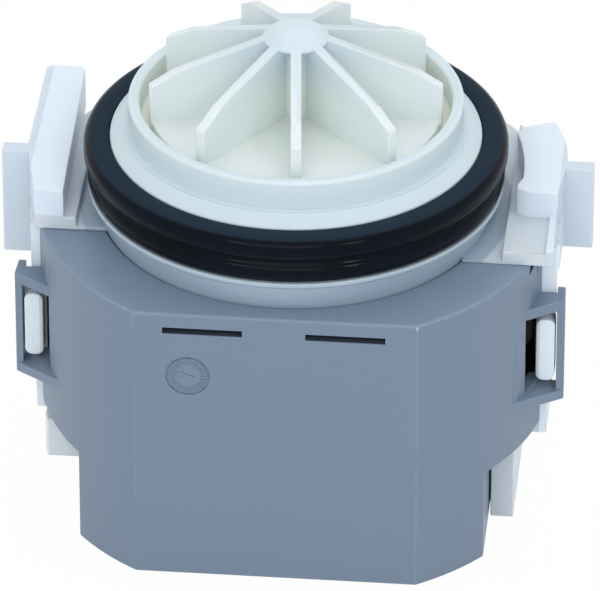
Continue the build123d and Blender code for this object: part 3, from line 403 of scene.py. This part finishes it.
def pale_edge_group():
    """Lightens the rounded edges of a moulding, broken up by noise."""
    if "Pale Edges" in bpy.data.node_groups:
        return bpy.data.node_groups["Pale Edges"]
    group, start, end = new_group(
        "Pale Edges", {"Vector": None, "Colour": WHITE, "Pale Colour": WHITE, "Edge": 0.0, "Strength": 0.4},
        {"Colour": tuple})
    edge_breakup = noise_node(group, start["Vector"], 350.0, rough=0.6)
    patches = ramp_node(group, edge_breakup, start=0.35, end=0.65, low=0.3)
    mask = math_node(group, "MULTIPLY", math_node(group, "MULTIPLY", start["Edge"], patches), start["Strength"])
    wire(group, mix_colours(group, mask, start["Colour"], start["Pale Colour"]), end["Colour"])
    return group


def far_group():
    """Share of a second tone beyond a radius from the impeller's axis, in metres."""
    if "Far" in bpy.data.node_groups:
        return bpy.data.node_groups["Far"]
    group, start, end = new_group(
        "Far", {"Vector": None, "Radius": 0.036, "Blend": 0.001}, {"Share": float})
    flat = vector_node(group, "MULTIPLY", {0: start["Vector"], 1: (1, 1, 0)})
    length = vector_node(group, "LENGTH", {0: flat.outputs[0]})
    past = math_node(group, "SUBTRACT", length.outputs["Value"], start["Radius"])
    wire(group, share_node(group, past, start["Blend"]), end["Share"])
    return group


def low_group():
    """Share of a second tone below a height, in metres."""
    if "Low" in bpy.data.node_groups:
        return bpy.data.node_groups["Low"]
    group, start, end = new_group(
        "Low", {"Vector": None, "Height": 0.05, "Blend": 0.002}, {"Share": float})
    under = math_node(group, "SUBTRACT", start["Height"], split_node(group, start["Vector"])["Z"])
    wire(group, share_node(group, under, start["Blend"]), end["Share"])
    return group


def box_group():
    """1 inside a box given by its middle and half its size, in metres."""
    if "Box" in bpy.data.node_groups:
        return bpy.data.node_groups["Box"]
    group, start, end = new_group(
        "Box", {"Vector": None, "Middle": None, "Half Size": None}, {"Share": float})
    away = vector_node(group, "SUBTRACT", {0: start["Vector"], 1: start["Middle"]})
    distances = split_node(group, vector_node(group, "ABSOLUTE", {0: away.outputs[0]}).outputs[0])
    halves = split_node(group, start["Half Size"])
    share = 1.0
    for axis in "XYZ":
        share = math_node(group, "MULTIPLY", share,
                          math_node(group, "LESS_THAN", distances[axis], halves[axis]))
    wire(group, share, end["Share"])
    return group


def place_group(tree, group, values):
    """A node that uses a node group with its own values; returns its outputs."""
    node = tree.nodes.new("ShaderNodeGroup")
    node.node_tree = group
    return fill_inputs(tree, node, values).outputs


# Zones: each puts the nodes of its mask in a tree and returns the mask
def beyond(radius, blend=None):
    """The zone past a radius from the impeller's axis."""
    blend = blend or places().radius_blend
    return lambda tree, place: place_group(tree, far_group(), {
        "Vector": place, "Radius": radius, "Blend": blend})["Share"]


def below(height, blend=None):
    """The zone below a height."""
    blend = blend or places().height_blend
    return lambda tree, place: place_group(tree, low_group(), {
        "Vector": place, "Height": height, "Blend": blend})["Share"]


def within(middle, half_size):
    """The zone inside a box."""
    return lambda tree, place: place_group(tree, box_group(), {
        "Vector": place, "Middle": middle, "Half Size": half_size})["Share"]


def outside(zone):
    """All that a zone leaves."""
    return lambda tree, place: math_node(tree, "SUBTRACT", 1.0, zone(tree, place))


def beside(distance):
    """The zones at the left and the right, from a distance on."""
    return outside(within((0, 0, 0), (distance, WIDE, WIDE)))


def overlap(first, *others):
    """What lies in all of several zones."""
    def share(tree, place):
        mask = first(tree, place)
        for zone in others:
            mask = math_node(tree, "MULTIPLY", mask, zone(tree, place))
        return mask
    return share


def rgba(colour, factor=1.0):
    """A colour with its alpha, made lighter or darker by a factor."""
    return (*(min(part * factor, 1) for part in colour[:3]), 1)


def new_material(name):
    """A material with only its Principled shader; returns it, its tree, shader and object coordinates."""
    material = bpy.data.materials.new(name)
    material.use_nodes = True
    tree = material.node_tree
    shader = tree.nodes["Principled BSDF"]
    place = tree.nodes.new("ShaderNodeTexCoord")
    return material, tree, shader, place.outputs["Object"]


def mottled(tree, place, colour, second, scale, spread):
    """A colour that varies slowly towards a second one."""
    return place_group(tree, mottle_group(), {
        "Vector": place, "Colour": rgba(colour), "Second Colour": second, "Scale": scale,
        "Spread": spread})["Colour"]


def bump(tree, shader, height, strength, distance):
    """Gives a shader the relief of a height."""
    node = fill_inputs(tree, tree.nodes.new("ShaderNodeBump"), {
        "Strength": strength, "Distance": distance, "Height": height})
    wire(tree, node.outputs["Normal"], shader.inputs["Normal"])


def moulded_plastic(name, colour, second=1.0, spread=0.05, zones=(), roughness=0.45, gloss_spread=0.14,
                    depth=0.00002, wave=0.4, wear=0.3, worn=None, less_pale=None, dark=None, speck=None,
                    speck_share=0.05, glow=0.0, glow_radius=0.002, glow_tint=(1.0, 1.0, 1.0)):
    """Injection moulded plastic: slow patches, zones of other tones, lighter edges, specks, grain and glow.

    The patches' second colour is a factor of the first. Edges turn less pale in a given zone; on the cover the
    paler edges are a painted highlight. A darker copy of the colour paints shade in another given zone.
    """
    material, tree, shader, place = new_material(name)
    tone = mottled(tree, place, colour, rgba(colour, second), scale=45.0, spread=spread)
    for zone_colour, zone in zones:
        tone = mix_colours(tree, zone(tree, place), tone, rgba(zone_colour))
    edge = tree.nodes.new("ShaderNodeAttribute")
    edge.attribute_name = "edge"
    edge_share = edge.outputs["Fac"]
    # Painted highlight: on the cover the paler edges stand for light caught by its rounded edges, and a given
    # lower zone keeps little of it.
    if less_pale:
        lost_share = math_node(tree, "MULTIPLY", less_pale(tree, place), LOST_PALING)
        edge_share = math_node(tree, "MULTIPLY", edge_share, math_node(tree, "SUBTRACT", 1.0, lost_share))
    tone = place_group(tree, pale_edge_group(), {
        "Vector": place, "Colour": tone, "Pale Colour": rgba(worn) if worn else rgba(colour, PALE_FACTOR),
        "Edge": edge_share, "Strength": wear})["Colour"]
    # Painted shade: a darker copy of the colour in the zone given as dark, the throats of the cover's cooling
    # slots.
    if dark:
        tone = mix_colours(tree, dark(tree, place), tone, rgba(colour, SHADE_FACTOR))
    if speck:
        tone = place_group(tree, specks_group(), {
            "Vector": place, "Colour": tone, "Speck Colour": rgba(speck), "Share": speck_share})["Colour"]
    surface = place_group(tree, grain_group(), {
        "Vector": place, "Grain Scale": 1 / sizes().spark_grain, "Wave Share": wave, "Roughness": roughness,
        "Roughness Spread": gloss_spread})
    bump(tree, shader, surface["Height"], strength=0.5, distance=depth)
    fill_inputs(tree, shader, {"Base Color": tone, "Roughness": surface["Roughness"], "IOR": 1.49})
    if glow:
        fill_inputs(tree, shader, {
            "Subsurface Weight": glow, "Subsurface Radius": glow_tint, "Subsurface Scale": glow_radius})
    return material


def rubber(name, colour, roughness=0.4, dust=0.06, specular=0.3, top=None, top_height=0.0):
    """Moulded rubber with slow patches, a little dust and, above a height, a second and duller tone, which
    paints the sheen of a top face.
    """
    material, tree, shader, place = new_material(name)
    patches = mottled(tree, place, colour, rgba(colour, 1.5), scale=55.0, spread=0.5)
    tone = place_group(tree, specks_group(), {
        "Vector": place, "Colour": patches, "Speck Colour": rgba(colours().dust), "Scale": 420.0, "Size": 0.1,
        "Share": dust, "Strength": 0.12})["Colour"]
    gloss = roughness
    if top:
        upper = ramp_node(tree, split_node(tree, place)["Z"], start=top_height - places().hard_blend,
                          end=top_height)
        tone = mix_colours(tree, upper, tone, rgba(top))
        gloss = math_node(tree, "ADD", roughness, math_node(tree, "MULTIPLY", upper, 0.5))
    surface = place_group(tree, grain_group(), {
        "Vector": place, "Grain Scale": 1500.0, "Wave Scale": 60.0, "Wave Share": 1.5, "Roughness": gloss,
        "Roughness Spread": 0.12})
    bump(tree, shader, surface["Height"], strength=0.4, distance=0.00003)
    fill_inputs(tree, shader, {"Base Color": tone, "Roughness": surface["Roughness"], "IOR": 1.52,
                               "Specular IOR Level": specular})
    return material


def metal(name, colour, roughness=0.3, streak=(400.0, 400.0, 4000.0), tarnish=0.25, metallic=1.0):
    """Metal with streaks along one way and faint tarnish."""
    material, tree, shader, place = new_material(name)
    stretch = fill_inputs(tree, tree.nodes.new("ShaderNodeMapping"), {"Vector": place, "Scale": streak})
    lines = noise_node(tree, stretch.outputs["Vector"], 1.0, rough=0.6)
    tone = mottled(tree, place, colour, rgba(colour, 1 - tarnish), scale=160.0, spread=0.15)
    gloss = ramp_node(tree, lines, start=0.3, end=0.7, low=roughness * 0.8, high=roughness * 1.3)
    bump(tree, shader, lines, strength=0.3, distance=0.00001)
    fill_inputs(tree, shader, {"Base Color": tone, "Roughness": gloss, "Metallic": metallic})
    return material


def stamped_sheets(name, colour, sheet=0.0005, joint_share=0.18):
    """Edges of a stack of stamped sheets that lie flat, oiled steel between dark joints."""
    material, tree, shader, place = new_material(name)
    phase = math_node(tree, "FRACT", math_node(tree, "MULTIPLY", split_node(tree, place)["Z"], 1 / sheet))
    joint = math_node(tree, "LESS_THAN", phase, joint_share)
    patches = mottled(tree, place, colour, rgba(colour, 0.75), scale=120.0, spread=0.2)
    tone = mix_colours(tree, joint, patches, rgba(colour, 0.25))
    bump(tree, shader, math_node(tree, "SUBTRACT", 1.0, joint), strength=0.6, distance=0.00005)
    fill_inputs(tree, shader, {"Base Color": tone, "Roughness": 0.42, "Metallic": 1.0})
    return material


def wound_tape(name, colour, width=0.0065, lean=0.12, lap_share=0.12, wire_pitch=0.00035, ridge_share=0.15):
    """Amber tape over enamelled wire: overlapping wraps with the wire's ridges showing through."""
    material, tree, shader, place = new_material(name)
    split = split_node(tree, place)
    along = math_node(tree, "ADD", split["Y"], math_node(tree, "MULTIPLY", split["Z"], lean))
    wrap = math_node(tree, "FRACT", math_node(tree, "MULTIPLY", along, 1 / width))
    lap = math_node(tree, "LESS_THAN", wrap, lap_share)
    ridge = math_node(tree, "SINE", math_node(tree, "MULTIPLY", split["Y"], math.tau / wire_pitch))
    patches = mottled(tree, place, colour, rgba(colour, 0.7), scale=110.0, spread=0.25)
    tone = mix_colours(tree, lap, patches, rgba(colour, 0.55))
    height = math_node(tree, "ADD", math_node(tree, "MULTIPLY", ridge, ridge_share), lap)
    bump(tree, shader, height, strength=0.5, distance=0.00006)
    fill_inputs(tree, shader, {
        "Base Color": tone, "Roughness": 0.28, "Coat Weight": 0.5, "Coat Roughness": 0.15})
    return material


def seen_share(tree):
    """1 for rays that see the backdrop straight, in a reflection or through glass."""
    light_path = tree.nodes.new("ShaderNodeLightPath").outputs
    shown = math_node(tree, "MAXIMUM", light_path["Is Camera Ray"], light_path["Is Glossy Ray"])
    return math_node(tree, "MAXIMUM", shown, light_path["Is Transmission Ray"])


def mixed_shaders(tree, factor, first, second):
    """The first shader where the factor is 0, and the second where it is 1."""
    return fill_inputs(tree, tree.nodes.new("ShaderNodeMixShader"), {0: factor, 1: first, 2: second}).outputs[0]


def dress(node, material):
    """Gives a CAD node its material."""
    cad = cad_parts[node]
    cad.data.materials.clear()
    cad.data.materials.append(material)


def finish_piece(mesh, name, body, material, stands_for=()):
    """Puts a finished mesh in the scene on its body."""
    mesh.materials.clear()
    mesh.materials.append(material)
    piece = bpy.data.objects.new(name, mesh)
    bpy.context.scene.collection.objects.link(piece)
    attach(piece, body)
    if stands_for:
        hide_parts(*stands_for)
    return piece


def made_mesh(work, name):
    """The mesh of a bmesh, which is freed."""
    mesh = bpy.data.meshes.new(name)
    work.to_mesh(mesh)
    work.free()
    return mesh


def is_corner(edge, angle):
    """Whether the faces at an edge turn by more than an angle."""
    return len(edge.link_faces) == 2 and edge.calc_face_angle(0) > angle


def edge_room(edge, width):
    """The width that the faces beside an edge leave for its rounding."""
    along = (edge.verts[1].co - edge.verts[0].co).normalized()
    room = width
    for loop in edge.link_loops:
        for side in (loop.link_loop_next.edge, loop.link_loop_prev.edge):
            across = side.verts[1].co - side.verts[0].co
            if along.cross(across.normalized()).length > sizes().corner_share:
                room = min(room, sizes().room_share * across.length)
    return room


def rounded(work, name, width):
    """The mesh of a bmesh with its weighted edges rounded; new faces have the second material slot."""
    rough = bpy.data.meshes.new(name)
    work.to_mesh(rough)
    rough.materials.append(None)
    rough.materials.append(None)
    holder = bpy.data.objects.new(name, rough)
    bpy.context.scene.collection.objects.link(holder)
    rounding = holder.modifiers.new("rounding", "BEVEL")
    rounding.limit_method = "WEIGHT"
    rounding.width = width
    rounding.segments = sizes().edge_steps
    rounding.use_clamp_overlap = False
    rounding.harden_normals = True
    rounding.material = 1
    mesh = bpy.data.meshes.new_from_object(holder.evaluated_get(bpy.context.evaluated_depsgraph_get()))
    bpy.data.objects.remove(holder)
    bpy.data.meshes.remove(rough)
    return mesh


def fold_places(mesh):
    """Points at the edges over which a mesh folds back on itself."""
    work = bmesh.new()
    work.from_mesh(mesh)
    bmesh.ops.triangulate(work, faces=work.faces)
    found = []
    for edge in work.edges:
        if is_corner(edge, FOLD_ANGLE):
            first, second = (vert.co.copy() for vert in edge.verts)
            found += [first, second, (first + second) / 2]
    work.free()
    return found


def nearest_edges(spots, edges, reach):
    """The edges that lie nearest to some spots, none farther than a reach."""
    marks = [(edge, edge.verts[0].co.lerp(edge.verts[1].co, step / steps))
             for edge in edges for steps in (math.ceil(edge.calc_length() / reach) + 1,)
             for step in range(steps + 1)]
    tree = KDTree(len(marks))
    for index, (edge, mark) in enumerate(marks):
        tree.insert(mark, index)
    tree.balance()
    found = {}
    for spot in spots:
        mark, index, distance = tree.find(spot)
        if distance < reach:
            found[marks[index][0].index] = marks[index][0]
    return [found[index] for index in sorted(found)]


def softened(node):
    """A copy of a CAD node's mesh with rounded edges, whose faces carry the edge attribute.

    An edge at which the rounding would fold the mesh gets a smaller one, and then stays sharp.
    """
    width = sizes().edge_width
    work = bmesh.new()
    work.from_mesh(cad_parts[node].data)
    bmesh.ops.remove_doubles(work, verts=work.verts, dist=MERGE_DISTANCE)
    bmesh.ops.dissolve_limit(work, angle_limit=FLAT_ANGLE, verts=work.verts, edges=work.edges, delimit=set())
    work.edges.index_update()
    weight = work.edges.layers.float.new("bevel_weight_edge")
    for face in work.faces:
        face.smooth = True
    for edge in work.edges:
        if is_corner(edge, CORNER_ANGLE):
            room = edge_room(edge, width)
            edge[weight] = room / width if edge.is_convex and room > sizes().least_edge else 0.0
            edge.smooth = False
    for attempt in range(sizes().rounding_tries):
        mesh = rounded(work, node + "_soft", width)
        live = [edge for edge in work.edges if edge[weight]]
        hit = nearest_edges(fold_places(mesh), live, FOLD_REACH * width)
        if not hit or attempt == sizes().rounding_tries - 1:
            break
        bpy.data.meshes.remove(mesh)
        for edge in hit:
            halved = attempt < HALVED_TRIES and edge[weight] > LEAST_HALVED
            edge[weight] = edge[weight] / 2 if halved else 0.0
    work.free()
    edge_layer = mesh.attributes.new("edge", "FLOAT", "FACE")
    for face in mesh.polygons:
        edge_layer.data[face.index].value = float(face.material_index)
        face.material_index = 0
    return mesh


# Pieces
class PUMP_OT_cover(Operator):
    """Grey motor cover with soft moulded edges"""
    bl_idname = "pump.cover"
    bl_label = "Motor cover"

    def execute(self, context):
        tones, spots = colours(), places()
        material = moulded_plastic(
            "cover_plastic", tones.cover, second=1.02, spread=0.01,
            # Painted shade: the upright faces below the cover's top take the darker side tone.
            zones=[(tones.cover_side_shade, below(spots.cover_top, spots.hard_blend))],
            roughness=0.42, gloss_spread=0.04, wave=0.1,
            # Painted highlight: the cover's rounded edges get the paler tone at full strength along the top,
            # and only a little of it lower down.
            wear=1.0, worn=tones.cover_edge_highlight, less_pale=below(spots.edge_highlight_top, EDGE_HIGHLIGHT_BLEND),
            # Painted shade in the throats of the cooling slots.
            dark=within(*SLOT_THROATS), speck=tones.speck, speck_share=0.02)
        finish_piece(softened("motor_cover"), "cover_shell", "casing", material,
                     ["motor_cover"])
        return {"FINISHED"}


class PUMP_OT_date_mark(Operator):
    """Arrow and ticks inside the round mark on the cover"""
    bl_idname = "pump.date_mark"
    bl_label = "Date mark"

    def execute(self, context):
        size = sizes()
        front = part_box("motor_cover")[0].y
        self.work = bmesh.new()
        for i in range(size.mark_ticks):
            length = size.tick_length if i % LONG_TICK_EVERY else size.long_tick
            self.add_bar(length, size.tick_width, size.tick_ring, i * math.tau / size.mark_ticks)
        self.add_bar(size.arrow_length, size.arrow_width, 0, ARROW_TURN)
        head = bmesh.ops.create_cone(
            self.work, cap_ends=True, segments=HEAD_CORNERS, radius1=size.head_radius, radius2=size.head_radius,
            depth=size.mark_relief * HEAD_DEPTH)["verts"]
        bmesh.ops.rotate(self.work, cent=(0, 0, 0), matrix=Matrix.Rotation(math.pi / 2, 3, "X"), verts=head)
        self.set_out(head, size.head_distance, ARROW_TURN)
        bmesh.ops.translate(self.work, vec=(MARK_PLACE[0], front, MARK_PLACE[1]), verts=self.work.verts)
        mesh = made_mesh(self.work, "date_mark")
        mesh.attributes.new("edge", "FLOAT", "FACE")
        finish_piece(mesh, "date_mark", "casing",
                     bpy.data.objects["cover_shell"].data.materials[0])
        return {"FINISHED"}

    def add_bar(self, length, width, distance, turn):
        bar = bmesh.ops.create_cube(self.work, size=1.0)["verts"]
        bmesh.ops.scale(self.work, vec=(width, sizes().mark_relief * BAR_DEPTH, length), verts=bar)
        self.set_out(bar, distance, turn)

    def set_out(self, verts, distance, turn):
        """Moves something up from the middle of the mark and then turns it round the middle."""
        bmesh.ops.translate(self.work, vec=(0, 0, distance), verts=verts)
        bmesh.ops.rotate(self.work, cent=(0, 0, 0), matrix=Matrix.Rotation(turn, 3, "Y"), verts=verts)


class PUMP_OT_body(Operator):
    """Milky pump body with soft moulded edges"""
    bl_idname = "pump.body"
    bl_label = "Pump body"

    def execute(self, context):
        tones, spots = colours(), places()
        # Painted shade: the rear shell and the low plates below their height and beyond the ears' radius.
        rear = overlap(below(spots.shell_height, spots.hard_blend), beyond(spots.ear_radius))
        # Painted light: the hooks in the loops, lightened against the loops' shadow.
        hooks = overlap(beside(spots.hook_distance), within(*HOOK_BOX))
        # Painted shade: the casing's inside, within its radius and between its foot and top heights.
        inside = overlap(outside(beyond(spots.inside_radius, INSIDE_BLEND)), below(spots.inside_top),
                         outside(below(spots.inside_foot, FOOT_BLEND)))
        material = moulded_plastic(
            # Painted light: the chamber tone lightens the shaded floor under the impeller and gives it the
            # yellow-green of light glowing through the plastic.
            "body_plastic", tones.chamber, second=0.97, spread=0.02,
            # Painted shade and painted reflection: the drum below its height takes the darker blue tone.
            zones=[(tones.body, beyond(spots.chamber_radius)), (tones.drum, below(spots.drum_height)),
                   # Painted light: the ears and arms beyond their radius take the lighter, bluer tone.
                   (tones.ears, beyond(spots.ear_radius)), (tones.shell, rear),
                   (tones.tabs, beside(spots.tab_distance)), (tones.hooks, hooks), (tones.inside, inside)],
            roughness=0.38, depth=0.000015, wear=0.2, worn=tones.body_edge,
            glow=0.15, glow_radius=0.004, glow_tint=MILKY)
        finish_piece(softened("pump_body"), "body_shell", "casing", material, ["pump_body"])
        return {"FINISHED"}


class PUMP_OT_impeller(Operator):
    """Translucent impeller with soft moulded edges"""
    bl_idname = "pump.impeller"
    bl_label = "Impeller"

    def execute(self, context):
        tones, spots = colours(), places()
        vanes = overlap(beyond(spots.vane_start, spots.vane_blend),
                        outside(below(spots.disc_top, spots.hard_blend)))
        material = moulded_plastic(
            # Painted shade: the hub's domed top and the outer vanes get darker, cooler tones than the rest of
            # the impeller, toning down their light.
            "impeller_plastic", tones.hub, second=0.95, spread=0.02,
            zones=[(tones.impeller, below(spots.hub_height, spots.hub_blend)), (tones.vane_tips, vanes)],
            roughness=0.36, depth=0.000015, wear=0.25, worn=tones.vane_edge,
            glow=0.3, glow_radius=0.004, glow_tint=MILKY)
        finish_piece(softened("impeller"), "impeller_wheel", "impeller_set", material,
                     ["impeller"])
        return {"FINISHED"}


class PUMP_OT_gasket(Operator):
    """Rubber gasket spun from its profile"""
    bl_idname = "pump.gasket"
    bl_label = "Gasket"

    def execute(self, context):
        low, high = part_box("seal_ring")
        outline = [(high.x - inset * MM, low.z + height * MM) for inset, height in GASKET_SIDE]
        outline += [(high.x - inset * MM, high.z - depth * MM) for inset, depth in GASKET_TOP]
        work = bmesh.new()
        verts = [work.verts.new((x, 0, z)) for x, z in outline]
        edges = [work.edges.new((a, b)) for a, b in zip(verts, verts[1:] + verts[:1])]
        bmesh.ops.spin(work, geom=verts + edges, cent=(0, 0, 0), axis=(0, 0, 1), angle=math.tau,
                       steps=GASKET_STEPS, use_merge=True)
        bmesh.ops.remove_doubles(work, verts=work.verts, dist=GASKET_MERGE)
        bmesh.ops.recalc_face_normals(work, faces=work.faces)
        for face in work.faces:
            face.smooth = True
        for edge in work.edges:
            if is_corner(edge, GASKET_CREASE):
                edge.smooth = False
        # Painted sheen: the gasket's top takes a lighter bluish tone for the light that it reflects.
        material = rubber("gasket_rubber", colours().rubber, roughness=0.15, specular=0.065, dust=0.0,
                          top=colours().gasket_top, top_height=high.z - SHEEN_DEPTH)
        finish_piece(made_mesh(work, "gasket"), "gasket", "casing", material, ["seal_ring"])
        return {"FINISHED"}


class PUMP_OT_socket(Operator):
    """Mains socket and its tabs"""
    bl_idname = "pump.socket"
    bl_label = "Mains socket"

    def execute(self, context):
        white = moulded_plastic("socket_plastic", colours().socket, roughness=0.3, depth=0.00001, wear=0.2,
                                glow=0.3)
        finish_piece(softened("connector_housing"), "socket_shell", "casing", white,
                     ["connector_housing"])
        dress("terminal_blades", metal("blade_metal", colours().blades, roughness=0.28))
        return {"FINISHED"}


class PUMP_OT_rotor(Operator):
    """Rotor, its coupling, shaft and bearings"""
    bl_idname = "pump.rotor"
    bl_label = "Rotor and bearings"

    def execute(self, context):
        tones = colours()
        washers = moulded_plastic("washer_plastic", tones.washer, roughness=0.35)
        bronze = metal("bearing_bronze", tones.bronze, roughness=0.5, streak=(2500.0, 2500.0, 2500.0))
        cups = rubber("grommet_rubber", tones.grommet, roughness=0.55)
        for node, material in (
                ("rotor_shaft", metal("shaft_steel", tones.shaft, roughness=0.2, tarnish=0.1)),
                ("rotor_magnet", metal("magnet_ferrite", tones.magnet, roughness=0.5, metallic=0.3)),
                ("magnet_sleeve", moulded_plastic("sleeve_plastic", tones.sleeve, glow=0.2)),
                ("drive_dog", moulded_plastic("driver_plastic", tones.driver, roughness=0.4)),
                ("coupling_damper", rubber("damper_rubber", tones.damper, roughness=0.6)),
                ("front_thrust_washer", washers), ("rear_thrust_washer", washers),
                ("front_bearing", bronze), ("rear_bearing", bronze),
                ("front_grommet", cups), ("rear_grommet", cups),
                ("shaft_seal", rubber("lip_rubber", tones.lip)),
                ("rotor_can", moulded_plastic("can_plastic", tones.can, roughness=0.25, glow=0.3)),
                ("bearing_cap", moulded_plastic("cap_plastic", tones.cap, roughness=0.4, glow=0.1))):
            dress(node, material)
        return {"FINISHED"}


class PUMP_OT_stator(Operator):
    """Lamination frame, bobbins, windings and the cut-out"""
    bl_idname = "pump.stator"
    bl_label = "Stator"

    def execute(self, context):
        tones = colours()
        sheets = stamped_sheets("core_steel", tones.steel)
        spools = moulded_plastic("bobbin_plastic", tones.bobbin, roughness=0.4, glow=0.15)
        tape = wound_tape("winding_copper", tones.tape)
        for node, material in (
                ("front_core", sheets), ("rear_core", sheets),
                ("right_bobbin", spools), ("left_bobbin", spools),
                ("right_winding", tape), ("left_winding", tape),
                ("thermal_protector", moulded_plastic("protector_shell", tones.protector, roughness=0.25)),
                ("link_lead", moulded_plastic("lead_plastic", tones.lead, roughness=0.35))):
            dress(node, material)
        return {"FINISHED"}


class PUMP_OT_stage(Operator):
    """Pale floor, soft lights and the camera"""
    bl_idname = "pump.stage"
    bl_label = "Stage"

    def execute(self, context):
        scene = context.scene
        scene.view_settings.view_transform = "Standard"
        self.lay_floor(scene)
        self.light_world(scene)
        self.hang_lights(scene)
        self.place_camera(scene)
        return {"FINISHED"}

    def lay_floor(self, scene):
        """A floor that looks nearly white where it is seen and keeps the pump's shadow."""
        work = bmesh.new()
        bmesh.ops.create_grid(work, x_segments=1, y_segments=1, size=FLOOR_HALF)
        mesh = made_mesh(work, "floor")
        floor = bpy.data.objects.new("floor", mesh)
        scene.collection.objects.link(floor)
        material, tree, shader, place = new_material("floor_paper")
        paper = colours().floor
        fill_inputs(tree, shader, {
            "Base Color": mottled(tree, place, paper, rgba(paper, 0.99), scale=3.0, spread=0.01),
            "Roughness": 0.9})
        glow = fill_inputs(tree, tree.nodes.new("ShaderNodeEmission"), {"Strength": 1.0})
        share = math_node(tree, "MULTIPLY", seen_share(tree), FLOOR_SEEN_SHARE)
        wire(tree, mixed_shaders(tree, share, shader.outputs[0], glow.outputs[0]),
             tree.nodes["Material Output"].inputs["Surface"])
        mesh.materials.append(material)

    def light_world(self, scene):
        """A soft bluish sky that the camera sees as white."""
        world = bpy.data.worlds.new("studio")
        world.use_nodes = True
        tree = world.node_tree
        tree.nodes.clear()
        soft, white = (fill_inputs(tree, tree.nodes.new("ShaderNodeBackground"), {
            "Color": colour, "Strength": strength}) for colour, strength in ((SKY, SKY_STRENGTH), (WHITE, 1.0)))
        output = tree.nodes.new("ShaderNodeOutputWorld")
        wire(tree, mixed_shaders(tree, seen_share(tree), soft.outputs[0], white.outputs[0]),
             output.inputs["Surface"])
        scene.world = world

    def hang_lights(self, scene):
        for name, place, size, power in LAMPS:
            lamp = bpy.data.lights.new(name, "AREA")
            lamp.shape = "SQUARE"
            lamp.size = size
            lamp.energy = power
            holder = bpy.data.objects.new(name, lamp)
            holder.location = place
            holder.rotation_euler = (Vector(LAMP_AIM) - Vector(place)).to_track_quat("-Z", "Y").to_euler()
            scene.collection.objects.link(holder)

    def place_camera(self, scene):
        azimuth, elevation = sizes().camera_azimuth, sizes().camera_elevation
        back = Vector((math.sin(azimuth) * math.cos(elevation), -math.cos(azimuth) * math.cos(elevation),
                       math.sin(elevation)))
        right = Vector((math.cos(azimuth), math.sin(azimuth), 0))
        camera = bpy.data.cameras.new("camera")
        camera.sensor_width = CAMERA_SENSOR
        camera.lens = sizes().camera_lens
        camera.clip_end = CAMERA_REACH
        holder = bpy.data.objects.new("camera", camera)
        turn = Matrix((right, back.cross(right), back)).transposed().to_4x4()
        holder.matrix_world = Matrix.Translation(Vector(CAMERA_AIM) * MM
                                                 + back * sizes().camera_distance) @ turn
        scene.collection.objects.link(holder)
        scene.camera = holder


OPERATORS = (PUMP_OT_stage, PUMP_OT_cover, PUMP_OT_date_mark, PUMP_OT_body, PUMP_OT_gasket, PUMP_OT_impeller,
             PUMP_OT_socket, PUMP_OT_rotor, PUMP_OT_stator)


class PUMP_PT_panel(Panel):
    bl_label = "Drain pump"
    bl_idname = "PUMP_PT_panel"
    bl_space_type = "VIEW_3D"
    bl_region_type = "UI"
    bl_category = "Pump"

    def draw(self, context):
        for operator in OPERATORS:
            self.layout.operator(operator.bl_idname)
        for group in (sizes(), places(), colours()):
            for name in group.__annotations__:
                self.layout.prop(group, name)


CLASSES = (PumpSizes, PumpPlaces, PumpColours, *OPERATORS, PUMP_PT_panel)


def register():
    for cls in CLASSES:
        bpy.utils.register_class(cls)
    bpy.types.Scene.pump_sizes = PointerProperty(type=PumpSizes)
    bpy.types.Scene.pump_places = PointerProperty(type=PumpPlaces)
    bpy.types.Scene.pump_colours = PointerProperty(type=PumpColours)


def unregister():
    del bpy.types.Scene.pump_colours
    del bpy.types.Scene.pump_places
    del bpy.types.Scene.pump_sizes
    for cls in reversed(CLASSES):
        bpy.utils.unregister_class(cls)


def main():
    register()
    bpy.ops.pump.stage()
    bpy.ops.pump.cover()
    bpy.ops.pump.date_mark()
    bpy.ops.pump.body()
    bpy.ops.pump.gasket()
    bpy.ops.pump.impeller()
    bpy.ops.pump.socket()
    bpy.ops.pump.rotor()
    bpy.ops.pump.stator()


if __name__ == "__main__":
    main()
